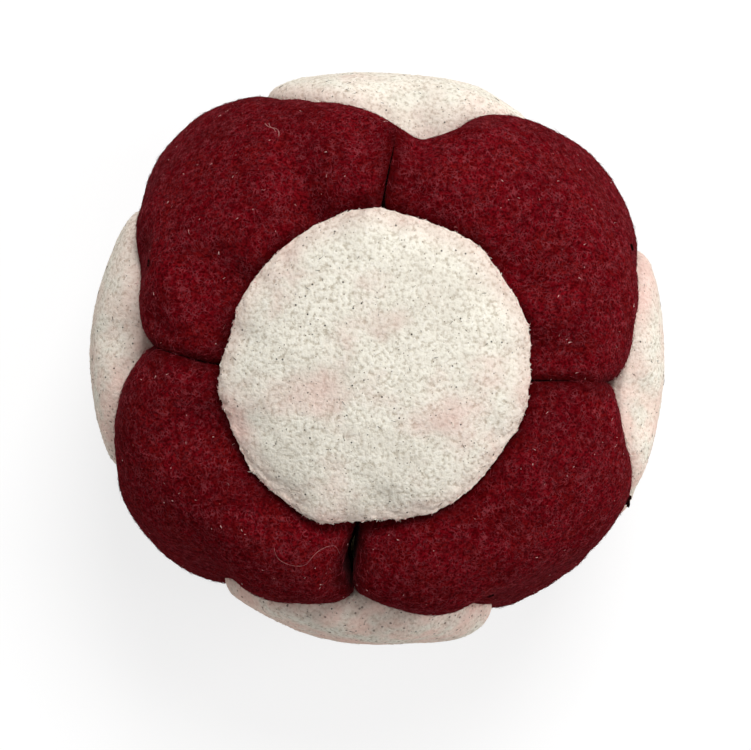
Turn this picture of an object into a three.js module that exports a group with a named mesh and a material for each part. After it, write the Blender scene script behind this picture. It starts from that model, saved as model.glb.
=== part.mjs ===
// A footbag: six round suede panels and eight three-armed ones, sewn edge to edge over a fill of sand.
// Millimetres, +Z up, -Y to the front. The bag lies settled, with the origin in the middle of its underside.
// Places are worked out on a unit ball, whose directions are stretched to the settled bag.

import * as THREE from "three";
import { mergeVertices } from "three/addons/utils/BufferGeometryUtils.js";

// The settled bag
const bagWidth = 52;
const bagHeight = 38.5;
const waistHeight = 18.4; // the level at which the bag is widest
const pressedDepth = 2.3; // how much of the round underside the table presses flat
const upperFullness = 2.25; // 2 makes an ellipse, and more makes fuller shoulders
const lowerFullness = 3;

// The suede panels
const suedeThickness = 1;
const discSeamRadius = 13.2; // from a disc's axis out to its seam
const creaseDepth = 1.6; // from the crown of a disc down to the mouth of its seam
const cornerDraw = 2.2; // how much deeper the mouth lies where three seams meet
const cornerReach = 5; // how far from such a corner it is drawn down
const discShoulder = 2; // how far in from its seam a disc is at full height
const lobeShoulder = 6;
const lobeSwell = 1.3; // how far a lobe stands out past the discs
const seamAllowance = 2.2; // the edge that is turned in below the mouth of a seam

// The sewing thread
const threadDiameter = 0.4;
const threadDepth = 1; // from the mouth of a seam down to the middle of its thread
const knotDiameter = 0.9;
const knotTail = 0.8; // the cut end that stands out of the knot
const knotShare = 0.75; // how far round the right disc it lies, from the back over the top to the front

// The running clearance between neighbouring pieces, and the wider one between the suede and the sand
const clearance = 0.3;
const fillClearance = 0.6;

// Steps of the meshes
const arcSteps = 6; // along a quarter of a disc's seam
const neckSteps = 2; // along a short seam between two lobes
const threadSides = 5;
const knotSides = 8;

// Where the loops of a panel's mesh lie, as shares of a disc's shoulder or of half a lobe's neck
const discLoopShares = [1.4, 0.6, 0.2];
const lobeLoopShares = [0.8, 0.4, 0.15];
const crownShares = [0.35, 0.7]; // from a panel's middle to its first loop
const pocketShare = 0.6; // where the turned edges part, of the way down to the thread

const quarterTurn = Math.PI / 2;
const halfWidth = bagWidth / 2;
const upperReach = bagHeight - waistHeight;
const lowerReach = waistHeight + pressedDepth;
const seamAngle = Math.asin(discSeamRadius / halfWidth);
const neckAngle = quarterTurn - 2 * seamAngle;
const neckLength = neckAngle * Math.min(upperReach, lowerReach);

// Half the slit at the mouth of a seam, half the pocket for its thread, and the inside of a turned edge
const mouthInset = clearance / 2;
const pocketInset = threadDiameter / 2 + clearance;
const edgeInset = pocketInset + suedeThickness;
const pocketDrop = threadDepth * pocketShare;

const facings = {
  top: new THREE.Vector3(0, 0, 1),
  bottom: new THREE.Vector3(0, 0, -1),
  front: new THREE.Vector3(0, -1, 0),
  back: new THREE.Vector3(0, 1, 0),
  right: new THREE.Vector3(1, 0, 0),
  left: new THREE.Vector3(-1, 0, 0),
};

/** A dull, dry finish. */
function finish(name, color, roughness) {
  return new THREE.MeshStandardMaterial({ name, color, roughness, metalness: 0 });
}

// The corners where three seams meet, two to each short seam
const corners = Object.values(facings).flatMap((near) =>
  Object.values(facings)
    .filter((far) => near.dot(far) === 0)
    .map((far) =>
      new THREE.Vector3()
        .addScaledVector(near, Math.cos(seamAngle))
        .addScaledVector(far, Math.sin(seamAngle)),
    ),
);

const materials = {
  cream: finish("cream_suede", 0xe7e0d2, 0.95),
  maroon: finish("maroon_suede", 0x64141a, 0.95),
  thread: finish("sewing_thread", 0x2e0e10, 0.6),
  sand: finish("dry_sand", 0xc9b48a, 1),
};

const upperHalf = { reach: upperReach, fullness: upperFullness };
const lowerHalf = { reach: lowerReach, fullness: lowerFullness };

/** The half of the bag that a direction is in: its reach from the waist and its fullness. */
function halfOf(up) {
  return up >= 0 ? upperHalf : lowerHalf;
}

/** Stretches a direction or a step on the unit ball to the bag. */
function stretched(step, reach) {
  return new THREE.Vector3(step.x * halfWidth, step.y * halfWidth, step.z * reach);
}

/** The point at a depth below the bag's envelope, straight in from its surface. */
function pointAt(direction, depth) {
  const { reach, fullness } = halfOf(direction.z);
  const across = Math.hypot(direction.x, direction.y);
  const height = Math.abs(direction.z);
  const fill = (across ** fullness + height ** fullness) ** (-1 / fullness);
  const lean = across ** (fullness - 2) / halfWidth;
  const outward = new THREE.Vector3(
    direction.x * lean,
    direction.y * lean,
    (Math.sign(direction.z) * height ** (fullness - 1)) / reach,
  ).normalize();
  return stretched(direction, reach)
    .multiplyScalar(fill)
    .addScaledVector(outward, -depth)
    .add(new THREE.Vector3(0, 0, waistHeight));
}

/** The depth of the mouth of a seam below the envelope, deepest where three seams meet. */
function mouthDepth(direction) {
  const drawn = corners.reduce((sum, corner) => {
    const distance = direction.distanceTo(corner) * halfWidth;
    return sum + Math.exp(-((distance / cornerReach) ** 2));
  }, 0);
  return creaseDepth + cornerDraw * drawn;
}

/** Keeps a point from sinking below a level, as the table does. */
function rested(point, level) {
  point.z = Math.max(point.z, level);
  return point;
}

/** The direction at an inset from a seam into a panel, for a point at a depth. */
function insetDirection(sample, inset, depth) {
  const direction = sample.direction.clone();
  for (const inward of sample.inwards) {
    const { reach } = halfOf(sample.direction.z || inward.z);
    direction.addScaledVector(inward, inset / (stretched(inward, reach).length() - depth));
  }
  return direction.normalize();
}

/** A point of a sample of a seam, at an inset and a depth. */
function seamPoint(sample, inset, depth) {
  return pointAt(insetDirection(sample, inset, depth), depth);
}

/** A place on a disc's seam, turned from one neighbouring disc towards the next. */
function discSeamSample(axis, first, second, turn) {
  const outward = new THREE.Vector3()
    .addScaledVector(first, Math.cos(turn))
    .addScaledVector(second, Math.sin(turn));
  const along = (axisPart, outwardPart) =>
    new THREE.Vector3().addScaledVector(axis, axisPart).addScaledVector(outward, outwardPart);
  return {
    direction: along(Math.cos(seamAngle), Math.sin(seamAngle)),
    towardsAxis: along(Math.sin(seamAngle), -Math.cos(seamAngle)),
  };
}

/** A place on the short seam between two discs, at a share of the way from one to the other. */
function neckDirection(near, far, share) {
  const angle = seamAngle + neckAngle * share;
  return new THREE.Vector3().addScaledVector(near, Math.cos(angle)).addScaledVector(far, Math.sin(angle));
}

/** The whole seam of a disc, anticlockwise from outside. */
function discOutline([axis, first, second]) {
  return Array.from({ length: 4 * arcSteps }, (_, step) => {
    const place = discSeamSample(axis, first, second, (step / arcSteps) * quarterTurn);
    return { direction: place.direction, inwards: [place.towardsAxis] };
  });
}

/** The six seams of a lobe between three discs, anticlockwise from outside. */
function lobeOutline([first, second, third]) {
  const outline = [];
  for (const [near, next, last] of [
    [first, second, third],
    [second, third, first],
    [third, first, second],
  ]) {
    for (let step = 0; step <= arcSteps; step++) {
      const place = discSeamSample(near, last, next, (step / arcSteps) * quarterTurn);
      const inwards = [place.towardsAxis.clone().negate()];
      if (step === 0) inwards.push(next);
      if (step === arcSteps) inwards.push(last);
      outline.push({ direction: place.direction, inwards });
    }
    for (let step = 1; step < neckSteps; step++)
      outline.push({ direction: neckDirection(near, next, step / neckSteps), inwards: [last] });
  }
  return outline;
}

/** How much of its height a panel has risen to, at a distance from a seam. */
function risen(distance, shoulder) {
  const share = THREE.MathUtils.clamp(distance / shoulder, 0, 1);
  return Math.sqrt(1 - (1 - share) ** 2);
}

/** The distance over the bag from a disc's seam, growing away from its axis. */
function distanceFromDisc(direction, axis) {
  const away = direction.clone().multiplyScalar(axis.dot(direction)).sub(axis);
  const pace = stretched(away.normalize(), halfOf(direction.z).reach).length() || halfWidth;
  return (direction.angleTo(axis) - seamAngle) * pace;
}

/** The distance over the bag from the plane through a short seam. */
function distanceFromNeck(direction, side) {
  const pace = stretched(side, halfOf(side.z).reach).length();
  return Math.asin(THREE.MathUtils.clamp(direction.dot(side), -1, 1)) * pace;
}

/** The depth of a disc's skin below the envelope. */
function discDepth(direction, [axis]) {
  return mouthDepth(direction) * (1 - risen(-distanceFromDisc(direction, axis), discShoulder));
}

/** The depth of a lobe's skin below the envelope, below zero where it swells past the discs. */
function lobeDepth(direction, axes) {
  const height = axes.reduce(
    (product, axis) =>
      product *
      risen(distanceFromDisc(direction, axis), lobeShoulder) *
      risen(distanceFromNeck(direction, axis), lobeShoulder),
    1,
  );
  return mouthDepth(direction) * (1 - height) - lobeSwell * height;
}

/** The corners of the triangles that join each loop of points to the next. A loop of one point is a pole. */
function bandCorners(loops) {
  const corners = [];
  const corner = (loop, index) => loop[loop.length === 1 ? 0 : index];
  for (let row = 1; row < loops.length; row++) {
    const [before, after] = [loops[row - 1], loops[row]];
    const count = Math.max(before.length, after.length);
    for (let i = 0; i < count; i++) {
      const next = (i + 1) % count;
      if (after.length > 1) corners.push(corner(before, i), after[i], after[next]);
      if (before.length > 1) corners.push(before[i], corner(after, next), before[next]);
    }
  }
  return corners;
}

/** One closed geometry from the corners of its triangles. */
function closedGeometry(corners) {
  const geometry = mergeVertices(new THREE.BufferGeometry().setFromPoints(corners));
  geometry.computeVertexNormals();
  return geometry;
}

/** Every panel: its name, its discs' axes, its outline, its middle, and the shape of its skin. */
function listPanels() {
  const panels = [];
  const discs = [
    ["top", "right", "back"],
    ["bottom", "back", "right"],
    ["front", "right", "top"],
    ["back", "top", "right"],
    ["right", "back", "top"],
    ["left", "top", "back"],
  ];
  for (const names of discs) {
    const axes = names.map((name) => facings[name]);
    panels.push({
      name: `disc_${names[0]}`,
      axes,
      outline: discOutline(axes),
      middle: axes[0],
      depthOf: discDepth,
      insets: discLoopShares.map((share) => share * discShoulder),
      material: materials.cream,
    });
  }
  for (const level of ["top", "bottom"])
    for (const end of ["front", "back"])
      for (const side of ["right", "left"]) {
        const names = [level, end, side];
        const given = names.map((name) => facings[name]);
        const rightHanded = given[0].clone().cross(given[1]).dot(given[2]) > 0;
        const axes = rightHanded ? given : [given[0], given[2], given[1]];
        panels.push({
          name: `lobe_${names.join("_")}`,
          axes,
          outline: lobeOutline(axes),
          middle: axes[0].clone().add(axes[1]).add(axes[2]).normalize(),
          depthOf: lobeDepth,
          insets: lobeLoopShares.map((share) => (share * neckLength) / 2),
          material: materials.maroon,
        });
      }
  return panels;
}

/** The depth of a panel's skin at an inset from a sample of its seam. */
function skinDepth(panel, sample, inset) {
  return panel.depthOf(insetDirection(sample, inset, 0), panel.axes);
}

/** A loop of a panel's skin at an inset from its seams, lowered by some thickness. */
function skinLoop(panel, inset, lowered) {
  return panel.outline.map((sample) => {
    const direction = insetDirection(sample, inset, 0);
    return rested(pointAt(direction, panel.depthOf(direction, panel.axes) + lowered), lowered);
  });
}

/** A loop at the foot of a panel's skin, where its turned edge begins, lowered by some thickness. */
function cornerLoop(panel, inset, lowered) {
  return panel.outline.map((sample) => {
    const depth = skinDepth(panel, sample, edgeInset) + lowered;
    return rested(seamPoint(sample, inset, depth), lowered);
  });
}

/** A loop of a panel's crown, at a share of the way from its middle to its innermost inset. */
function crownLoop(panel, share, lowered) {
  return panel.outline.map((sample) => {
    const rim = insetDirection(sample, panel.insets[0], 0);
    const direction = panel.middle.clone().lerp(rim, share).normalize();
    return rested(pointAt(direction, panel.depthOf(direction, panel.axes) + lowered), lowered);
  });
}

/** The middle of a panel's crown, as a pole. */
function crownPole(panel, lowered) {
  return [rested(pointAt(panel.middle, panel.depthOf(panel.middle, panel.axes) + lowered), lowered)];
}

/** A loop round a panel at an inset from its seams, at a drop below their mouths. */
function turnedLoop(panel, inset, drop) {
  return panel.outline.map((sample) => seamPoint(sample, inset, mouthDepth(sample.direction) + drop));
}

/** A sewn panel: its skin, its edge turned in below the seam, and its inside face. */
function panelGeometry(panel) {
  const mouth = panel.outline.map((sample) => {
    const direction = insetDirection(sample, mouthInset, mouthDepth(sample.direction));
    return rested(pointAt(direction, panel.depthOf(direction, panel.axes)), 0);
  });
  return closedGeometry(
    bandCorners([
      crownPole(panel, 0),
      ...crownShares.map((share) => crownLoop(panel, share, 0)),
      ...panel.insets.map((inset) => skinLoop(panel, inset, 0)),
      mouth,
      turnedLoop(panel, pocketInset, pocketDrop),
      turnedLoop(panel, pocketInset, seamAllowance),
      turnedLoop(panel, edgeInset, seamAllowance),
      cornerLoop(panel, edgeInset, suedeThickness),
      skinLoop(panel, panel.insets[0], suedeThickness),
      crownLoop(panel, crownShares[0], suedeThickness),
      crownPole(panel, suedeThickness),
    ]),
  );
}

/** The fill of sand: a plateau below each panel, with grooves that clear the turned edges. */
function sandGeometry(panels) {
  const lowered = suedeThickness + fillClearance;
  const wallInset = edgeInset + clearance;
  const grooveDrop = seamAllowance + clearance;
  const faces = panels.flatMap((panel) =>
    bandCorners([
      crownPole(panel, lowered),
      crownLoop(panel, crownShares[0], lowered),
      skinLoop(panel, panel.insets[0], lowered),
      cornerLoop(panel, wallInset, lowered),
      turnedLoop(panel, wallInset, grooveDrop),
      turnedLoop(panel, 0, grooveDrop),
    ]),
  );
  return closedGeometry(faces);
}

/** The thread round a disc, inside its seam. */
function discThreadGeometry(outline) {
  const radius = threadDiameter / 2;
  const loops = Array.from({ length: threadSides + 1 }, (_, side) => {
    const turn = ((side % threadSides) / threadSides) * 2 * Math.PI;
    return outline.map((sample) => {
      const middle = mouthDepth(sample.direction) + threadDepth;
      return seamPoint(sample, -radius * Math.sin(turn), middle - radius * Math.cos(turn));
    });
  });
  return closedGeometry(bandCorners(loops));
}

/** The thread along the short seam between two discs, stopping clear of the threads round them. */
function neckThreadGeometry(near, far) {
  const radius = threadDiameter / 2;
  const endShare = (threadDiameter + clearance) / neckLength;
  const side = near.clone().cross(far);
  const samples = Array.from({ length: neckSteps + 1 }, (_, step) => ({
    direction: neckDirection(near, far, endShare + (1 - 2 * endShare) * (step / neckSteps)),
    inwards: [side],
  }));
  const middleDepth = (sample) => mouthDepth(sample.direction) + threadDepth;
  const sections = samples.map((sample) =>
    Array.from({ length: threadSides }, (_, corner) => {
      const turn = (corner / threadSides) * 2 * Math.PI;
      return seamPoint(sample, radius * Math.sin(turn), middleDepth(sample) - radius * Math.cos(turn));
    }),
  );
  const start = [seamPoint(samples[0], 0, middleDepth(samples[0]))];
  const end = [seamPoint(samples[neckSteps], 0, middleDepth(samples[neckSteps]))];
  return closedGeometry(bandCorners([start, ...sections, end]));
}

/** The knot that closes the last seam, with the cut end of its thread. */
function knotMesh(disc) {
  const radius = knotDiameter / 2;
  const tailRadius = threadDiameter / 2;
  const tailTurn = Math.asin(tailRadius / radius);
  const profile = Array.from({ length: knotSides + 1 }, (_, step) => {
    const turn = Math.PI - (Math.PI - tailTurn) * (step / knotSides);
    return new THREE.Vector2(step ? radius * Math.sin(turn) : 0, radius * Math.cos(turn));
  });
  profile.push(new THREE.Vector2(tailRadius, radius + knotTail), new THREE.Vector2(0, radius + knotTail));
  const mesh = new THREE.Mesh(new THREE.LatheGeometry(profile, knotSides), materials.thread);
  mesh.name = "closing_knot";
  const place = discSeamSample(...disc.axes, Math.PI * knotShare);
  const sample = { direction: place.direction, inwards: [place.towardsAxis] };
  const seat = seamPoint(sample, 0, skinDepth(disc, sample, knotDiameter));
  const outward = seat.clone().sub(seamPoint(sample, 0, mouthDepth(sample.direction))).normalize();
  mesh.position.copy(seat);
  mesh.quaternion.setFromUnitVectors(new THREE.Vector3(0, 1, 0), outward);
  return mesh;
}

/** Adds one named piece to the bag. */
function addPiece(bag, name, geometry, material) {
  const mesh = new THREE.Mesh(geometry, material);
  mesh.name = name;
  bag.add(mesh);
}

/** The whole bag. */
function buildFootbag() {
  const bag = new THREE.Group();
  const panels = listPanels();
  for (const panel of panels) addPiece(bag, panel.name, panelGeometry(panel), panel.material);
  for (const panel of panels.filter((each) => each.name.startsWith("disc_"))) {
    const name = panel.name.replace("disc_", "disc_thread_");
    addPiece(bag, name, discThreadGeometry(panel.outline), materials.thread);
  }
  const joined = [
    ...["front", "back", "right", "left"].flatMap((side) => [
      ["top", side],
      ["bottom", side],
    ]),
    ...["front", "back"].flatMap((end) => [
      [end, "right"],
      [end, "left"],
    ]),
  ];
  for (const [near, far] of joined) {
    const geometry = neckThreadGeometry(facings[near], facings[far]);
    addPiece(bag, `neck_thread_${near}_${far}`, geometry, materials.thread);
  }
  addPiece(bag, "sand_fill", sandGeometry(panels), materials.sand);
  bag.add(knotMesh(panels.find((panel) => panel.name === "disc_right")));
  return bag;
}

export default buildFootbag();
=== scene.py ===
"""Dresses a sand-filled footbag, fourteen suede panels sewn edge to edge, seen from straight above."""

import logging
import math
from dataclasses import dataclass, field
from enum import Enum
from itertools import permutations

import bpy
import numpy as np
from mathutils import Matrix, Vector
from mathutils.bvhtree import BVHTree


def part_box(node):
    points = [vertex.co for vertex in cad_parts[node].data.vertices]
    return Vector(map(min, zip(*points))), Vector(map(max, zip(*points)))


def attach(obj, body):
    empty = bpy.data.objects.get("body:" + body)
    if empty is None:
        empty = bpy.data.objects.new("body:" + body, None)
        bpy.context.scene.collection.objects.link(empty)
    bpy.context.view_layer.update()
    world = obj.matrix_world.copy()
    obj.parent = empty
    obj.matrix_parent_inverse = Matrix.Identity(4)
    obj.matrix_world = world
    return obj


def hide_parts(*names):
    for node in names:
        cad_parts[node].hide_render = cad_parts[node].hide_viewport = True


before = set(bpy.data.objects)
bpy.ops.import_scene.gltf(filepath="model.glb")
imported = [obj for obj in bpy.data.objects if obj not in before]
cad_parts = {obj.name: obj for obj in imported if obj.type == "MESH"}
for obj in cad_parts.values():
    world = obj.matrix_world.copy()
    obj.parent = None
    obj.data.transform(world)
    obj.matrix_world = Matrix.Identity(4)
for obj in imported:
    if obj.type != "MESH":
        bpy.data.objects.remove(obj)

LOG = logging.getLogger("footbag")
MM = 0.001
QUARTER_TURN = math.pi / 2
FULL_TURN = 2 * math.pi
TINY = 1e-9  # Keeps a division from zero.
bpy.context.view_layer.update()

# Settings of the nodes that the finishes use most, and the inputs of a node that mixes two colours.
BLEND = {"data_type": "RGBA"}
SMOOTH = {"interpolation_type": "SMOOTHSTEP"}
PRODUCT = {"operation": "MULTIPLY"}
SHARE, UNDER, OVER = 0, 6, 7

Array = np.ndarray
Piece = bpy.types.Object
Material = bpy.types.Material
Tree = bpy.types.NodeTree
Node = bpy.types.Node
Socket = bpy.types.NodeSocket
Source = float | tuple[float, ...] | Socket | Node


def unit(vectors: Array) -> Array:
    """Scale vectors to length 1.

    Args:
        vectors: One vector to a row.

    Returns:
        The scaled vectors.
    """
    return vectors / np.maximum(np.linalg.norm(vectors, axis=-1, keepdims=True), TINY * MM)


def linear_color(code: str) -> tuple[float, float, float, float]:
    """Turn an sRGB hex colour into the linear colour that a socket takes.

    Args:
        code: The colour as "#rrggbb".

    Returns:
        Red, green, blue and an alpha of 1.
    """
    shares = [int(code[place:place + 2], 16) / 255 for place in (1, 3, 5)]
    levels = [share / 12.92 if share <= 0.04045 else ((share + 0.055) / 1.055) ** 2.4 for share in shares]
    return (*levels, 1.0)


class Side(Enum):
    """The six ways that a disc can face."""

    TOP = (0, 0, 1)
    BOTTOM = (0, 0, -1)
    FRONT = (0, -1, 0)
    BACK = (0, 1, 0)
    RIGHT = (1, 0, 0)
    LEFT = (-1, 0, 0)

    @property
    def axis(self) -> Array:
        """The direction of the side, as floats."""
        return np.array(self.value, float)

    @property
    def word(self) -> str:
        """The side's name as CAD nodes spell it."""
        return self.name.lower()


@dataclass(frozen=True)
class Spot:
    """A place on the bag, from which a change fades away.

    Attributes:
        azimuth: Degrees anticlockwise from the right disc, seen from above.
        elevation: Degrees above the waist.
        spread: Degrees at which the change has fallen to 0.37.
    """

    azimuth: float
    elevation: float
    spread: float

    def weights(self, directions: Array) -> Array:
        """How strongly each direction feels the change, from 0 to 1."""
        return fading(directions, toward(self.azimuth, self.elevation), self.spread)


@dataclass(frozen=True)
class Tug(Spot):
    """A place where the settled bag is pushed or pulled out of its even form.

    Attributes:
        pull: How far the place moves, in millimetres along X and Y.
    """

    pull: tuple[float, float]


@dataclass(frozen=True)
class Slack(Spot):
    """A place where the seams are drawn deeper than elsewhere, or less deep.

    Attributes:
        extra_depth: Millimetres added to the depth of the creases.
        gape: Millimetres by which each side of the slit stands back.
    """

    extra_depth: float
    gape: float = 0.0


@dataclass(frozen=True)
class Pleat:
    """A dent that runs from a seam into a panel.

    Attributes:
        panel: The name of the panel that it dents.
        start: Azimuth and elevation of its deep end, in degrees.
        end: Azimuth and elevation of the end where it fades out.
        width: Half its width, in millimetres.
        depth: Its depth, in millimetres.
    """

    panel: str
    start: tuple[float, float]
    end: tuple[float, float]
    width: float
    depth: float


def toward(azimuth: float, elevation: float) -> Array:
    """The direction at an azimuth and an elevation in degrees."""
    turn, rise = math.radians(azimuth), math.radians(elevation)
    return np.array([math.cos(turn) * math.cos(rise), math.sin(turn) * math.cos(rise), math.sin(rise)])


def fading(directions: Array, target: Array, spread: float) -> Array:
    """Weigh directions from 1 at a target to 0.37 at a spread in degrees, and on to 0."""
    angles = np.arccos(np.clip(directions @ target, -1, 1))
    return np.exp(-((angles / math.radians(spread)) ** 2))


@dataclass(frozen=True)
class BagForm:
    """The settled bag's outer form, to which every panel is shaped.

    Directions on a unit ball are stretched to the bag, so that panels which share a seam share its places.
    Lengths are in metres.

    Attributes:
        half_width: From the middle axis to the crown of a side disc.
        height: From the table to the crown of the top disc.
        waist: The level at which the bag is widest.
        pressed: How much of the round underside the table presses flat.
        upper_fullness: 2 makes an ellipse above the waist, and more makes fuller shoulders.
        lower_fullness: The same below the waist.
        seam_radius: From a disc's axis to its seam.
        crease: From the crown of a disc down to the mouth of its seam.
        room: What the panels leave below that form, for the sand to swell them into.
        corner_draw: How much deeper the mouth lies where three seams meet.
        corner_spread: Degrees over which that fades along the seams.
        tugs: Where the bag departs from its even form.
        slacks: Where the seams are drawn deeper or less deep.
    """

    half_width: float
    height: float
    waist: float
    pressed: float = 2.3 * MM
    upper_fullness: float = 2.25
    lower_fullness: float = 3.0
    seam_radius: float = 13.2 * MM
    crease: float = 1.3 * MM
    room: float = 0.35 * MM
    corner_draw: float = 2.5 * MM
    corner_spread: float = 9.0
    tugs: tuple[Tug, ...] = ()
    slacks: tuple[Slack, ...] = ()

    @property
    def seam_angle(self) -> float:
        """From a disc's axis to its seam, on the unit ball."""
        return math.asin(self.seam_radius / self.half_width)

    @property
    def neck_angle(self) -> float:
        """The length of a short seam, on the unit ball."""
        return QUARTER_TURN - 2 * self.seam_angle

    def reach(self, up: Array) -> Array:
        """How far the form reaches from the waist, upwards where up is above zero and else downwards."""
        return np.where(up >= 0, self.height - self.waist, self.waist + self.pressed)

    def stretched(self, steps: Array, up: Array) -> Array:
        """Stretch steps on the unit ball to the bag.

        Args:
            steps: Vectors, one to a row.
            up: Above zero where a step lies in the upper half.

        Returns:
            The stretched vectors.
        """
        reach = self.reach(up)
        return steps * np.stack([np.full_like(reach, self.half_width)] * 2 + [reach], axis=-1)

    def crease_depth(self, directions: Array) -> Array:
        """The depth of a seam's mouth.

        Args:
            directions: Unit vectors, one to a row.

        Returns:
            The depth at each direction, below the outer form.
        """
        depth = np.full(len(directions), self.crease)
        for near, after in permutations(Side, 2):
            if near.axis @ after.axis == 0:
                corner = near.axis * math.cos(self.seam_angle) + after.axis * math.sin(self.seam_angle)
                depth = depth + self.corner_draw * fading(directions, corner, self.corner_spread)
        for slack in self.slacks:
            depth = depth + slack.weights(directions) * slack.extra_depth * MM
        return depth

    def gape(self, directions: Array) -> Array:
        """How far each side of the slit stands back from the seam.

        Args:
            directions: Unit vectors, one to a row.

        Returns:
            The distance at each direction, below zero where the sides press together.
        """
        total = np.zeros(len(directions))
        for slack in self.slacks:
            total += slack.gape * MM * slack.weights(directions)
        return total

    def settle(self, directions: Array, depths: Array | float) -> Array:
        """Place points on the bag.

        Args:
            directions: Unit vectors from the middle of the waist, one to a row.
            depths: How far each point lies below the outer form, straight in.

        Returns:
            The points.
        """
        up = directions[:, 2]
        power = np.where(up >= 0, self.upper_fullness, self.lower_fullness)
        across = np.maximum(np.hypot(directions[:, 0], directions[:, 1]), TINY)
        fill = (across ** power + np.abs(up) ** power) ** (-1 / power)
        lean = across ** (power - 2) / self.half_width
        outward = unit(np.stack([
            directions[:, 0] * lean,
            directions[:, 1] * lean,
            np.sign(up) * np.abs(up) ** (power - 1) / self.reach(up),
        ], axis=-1))
        points = self.stretched(directions, up) * fill[:, None] - outward * np.reshape(depths, (-1, 1))
        for tug in self.tugs:
            points = points + tug.weights(directions)[:, None] * np.array([*tug.pull, 0.0]) * MM
        return points + np.array([0, 0, self.waist])

    def disc_distance(self, directions: Array, axis: Array) -> Array:
        """The distance over the bag from a disc's seam.

        Args:
            directions: Unit vectors, one to a row.
            axis: The disc's axis.

        Returns:
            The distances, above zero outside the disc and below zero on it.
        """
        level = directions @ axis
        away = unit(directions * level[:, None] - axis)
        pace = np.linalg.norm(self.stretched(away, directions[:, 2]), axis=-1)
        # On the axis itself no way leads off it, and the pace comes out near zero.
        pace = np.where(pace < self.crease, self.half_width, pace)
        return (np.arccos(np.clip(level, -1, 1)) - self.seam_angle) * pace

    def neck_distance(self, directions: Array, side: Array) -> Array:
        """The distance over the bag from the plane through a short seam.

        Args:
            directions: Unit vectors, one to a row.
            side: The direction square to that plane.

        Returns:
            The distances, above zero on that side.
        """
        sides = np.repeat(side[None], len(directions), axis=0)
        pace = np.linalg.norm(self.stretched(sides, sides[:, 2]), axis=-1)
        return np.arcsin(np.clip(directions @ side, -1, 1)) * pace


def risen(distances: Array, shoulder: float, fullness: float = 2.0) -> Array:
    """How much of its height a panel has at some distance from a seam.

    Args:
        distances: Distances from the seam.
        shoulder: The distance at which the panel has its full height.
        fullness: 2 makes a round shoulder, and more a squarer one.

    Returns:
        Shares of the full height.
    """
    share = np.clip(distances / shoulder, 0, 1)
    return (1 - (1 - share) ** fullness) ** (1 / fullness)


@dataclass(frozen=True)
class Outline:
    """The seams round a panel, anticlockwise from outside.

    Attributes:
        directions: The places of the seams on the unit ball.
        inwards: For each place, the step that leads straight into the panel.
        asides: For each place, the step along the seam that keeps it clear of the panel's corners.
        drifts: How much of an inset each place moves aside, from 1 through 0 to -1 along a seam.
    """

    directions: Array
    inwards: Array
    asides: Array
    drifts: Array

    def inset(self, form: BagForm, distance: Array | float, depths: Array | float) -> Array:
        """Step from the seams into the panel.

        Args:
            form: The bag.
            distance: How far to step over the bag.
            depths: How far below the outer form the points will lie.

        Returns:
            The directions of the new places.
        """
        up = np.where(np.abs(self.directions[:, 2]) > TINY, self.directions[:, 2], self.inwards[:, 2])
        moved = self.directions.copy()
        for steps, shares in ((self.inwards, 1.0), (self.asides, self.drifts)):
            pace = np.linalg.norm(form.stretched(steps, up), axis=-1) - depths
            moved += steps * (shares * distance / np.maximum(pace, form.crease))[:, None]
        return unit(moved)


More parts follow.
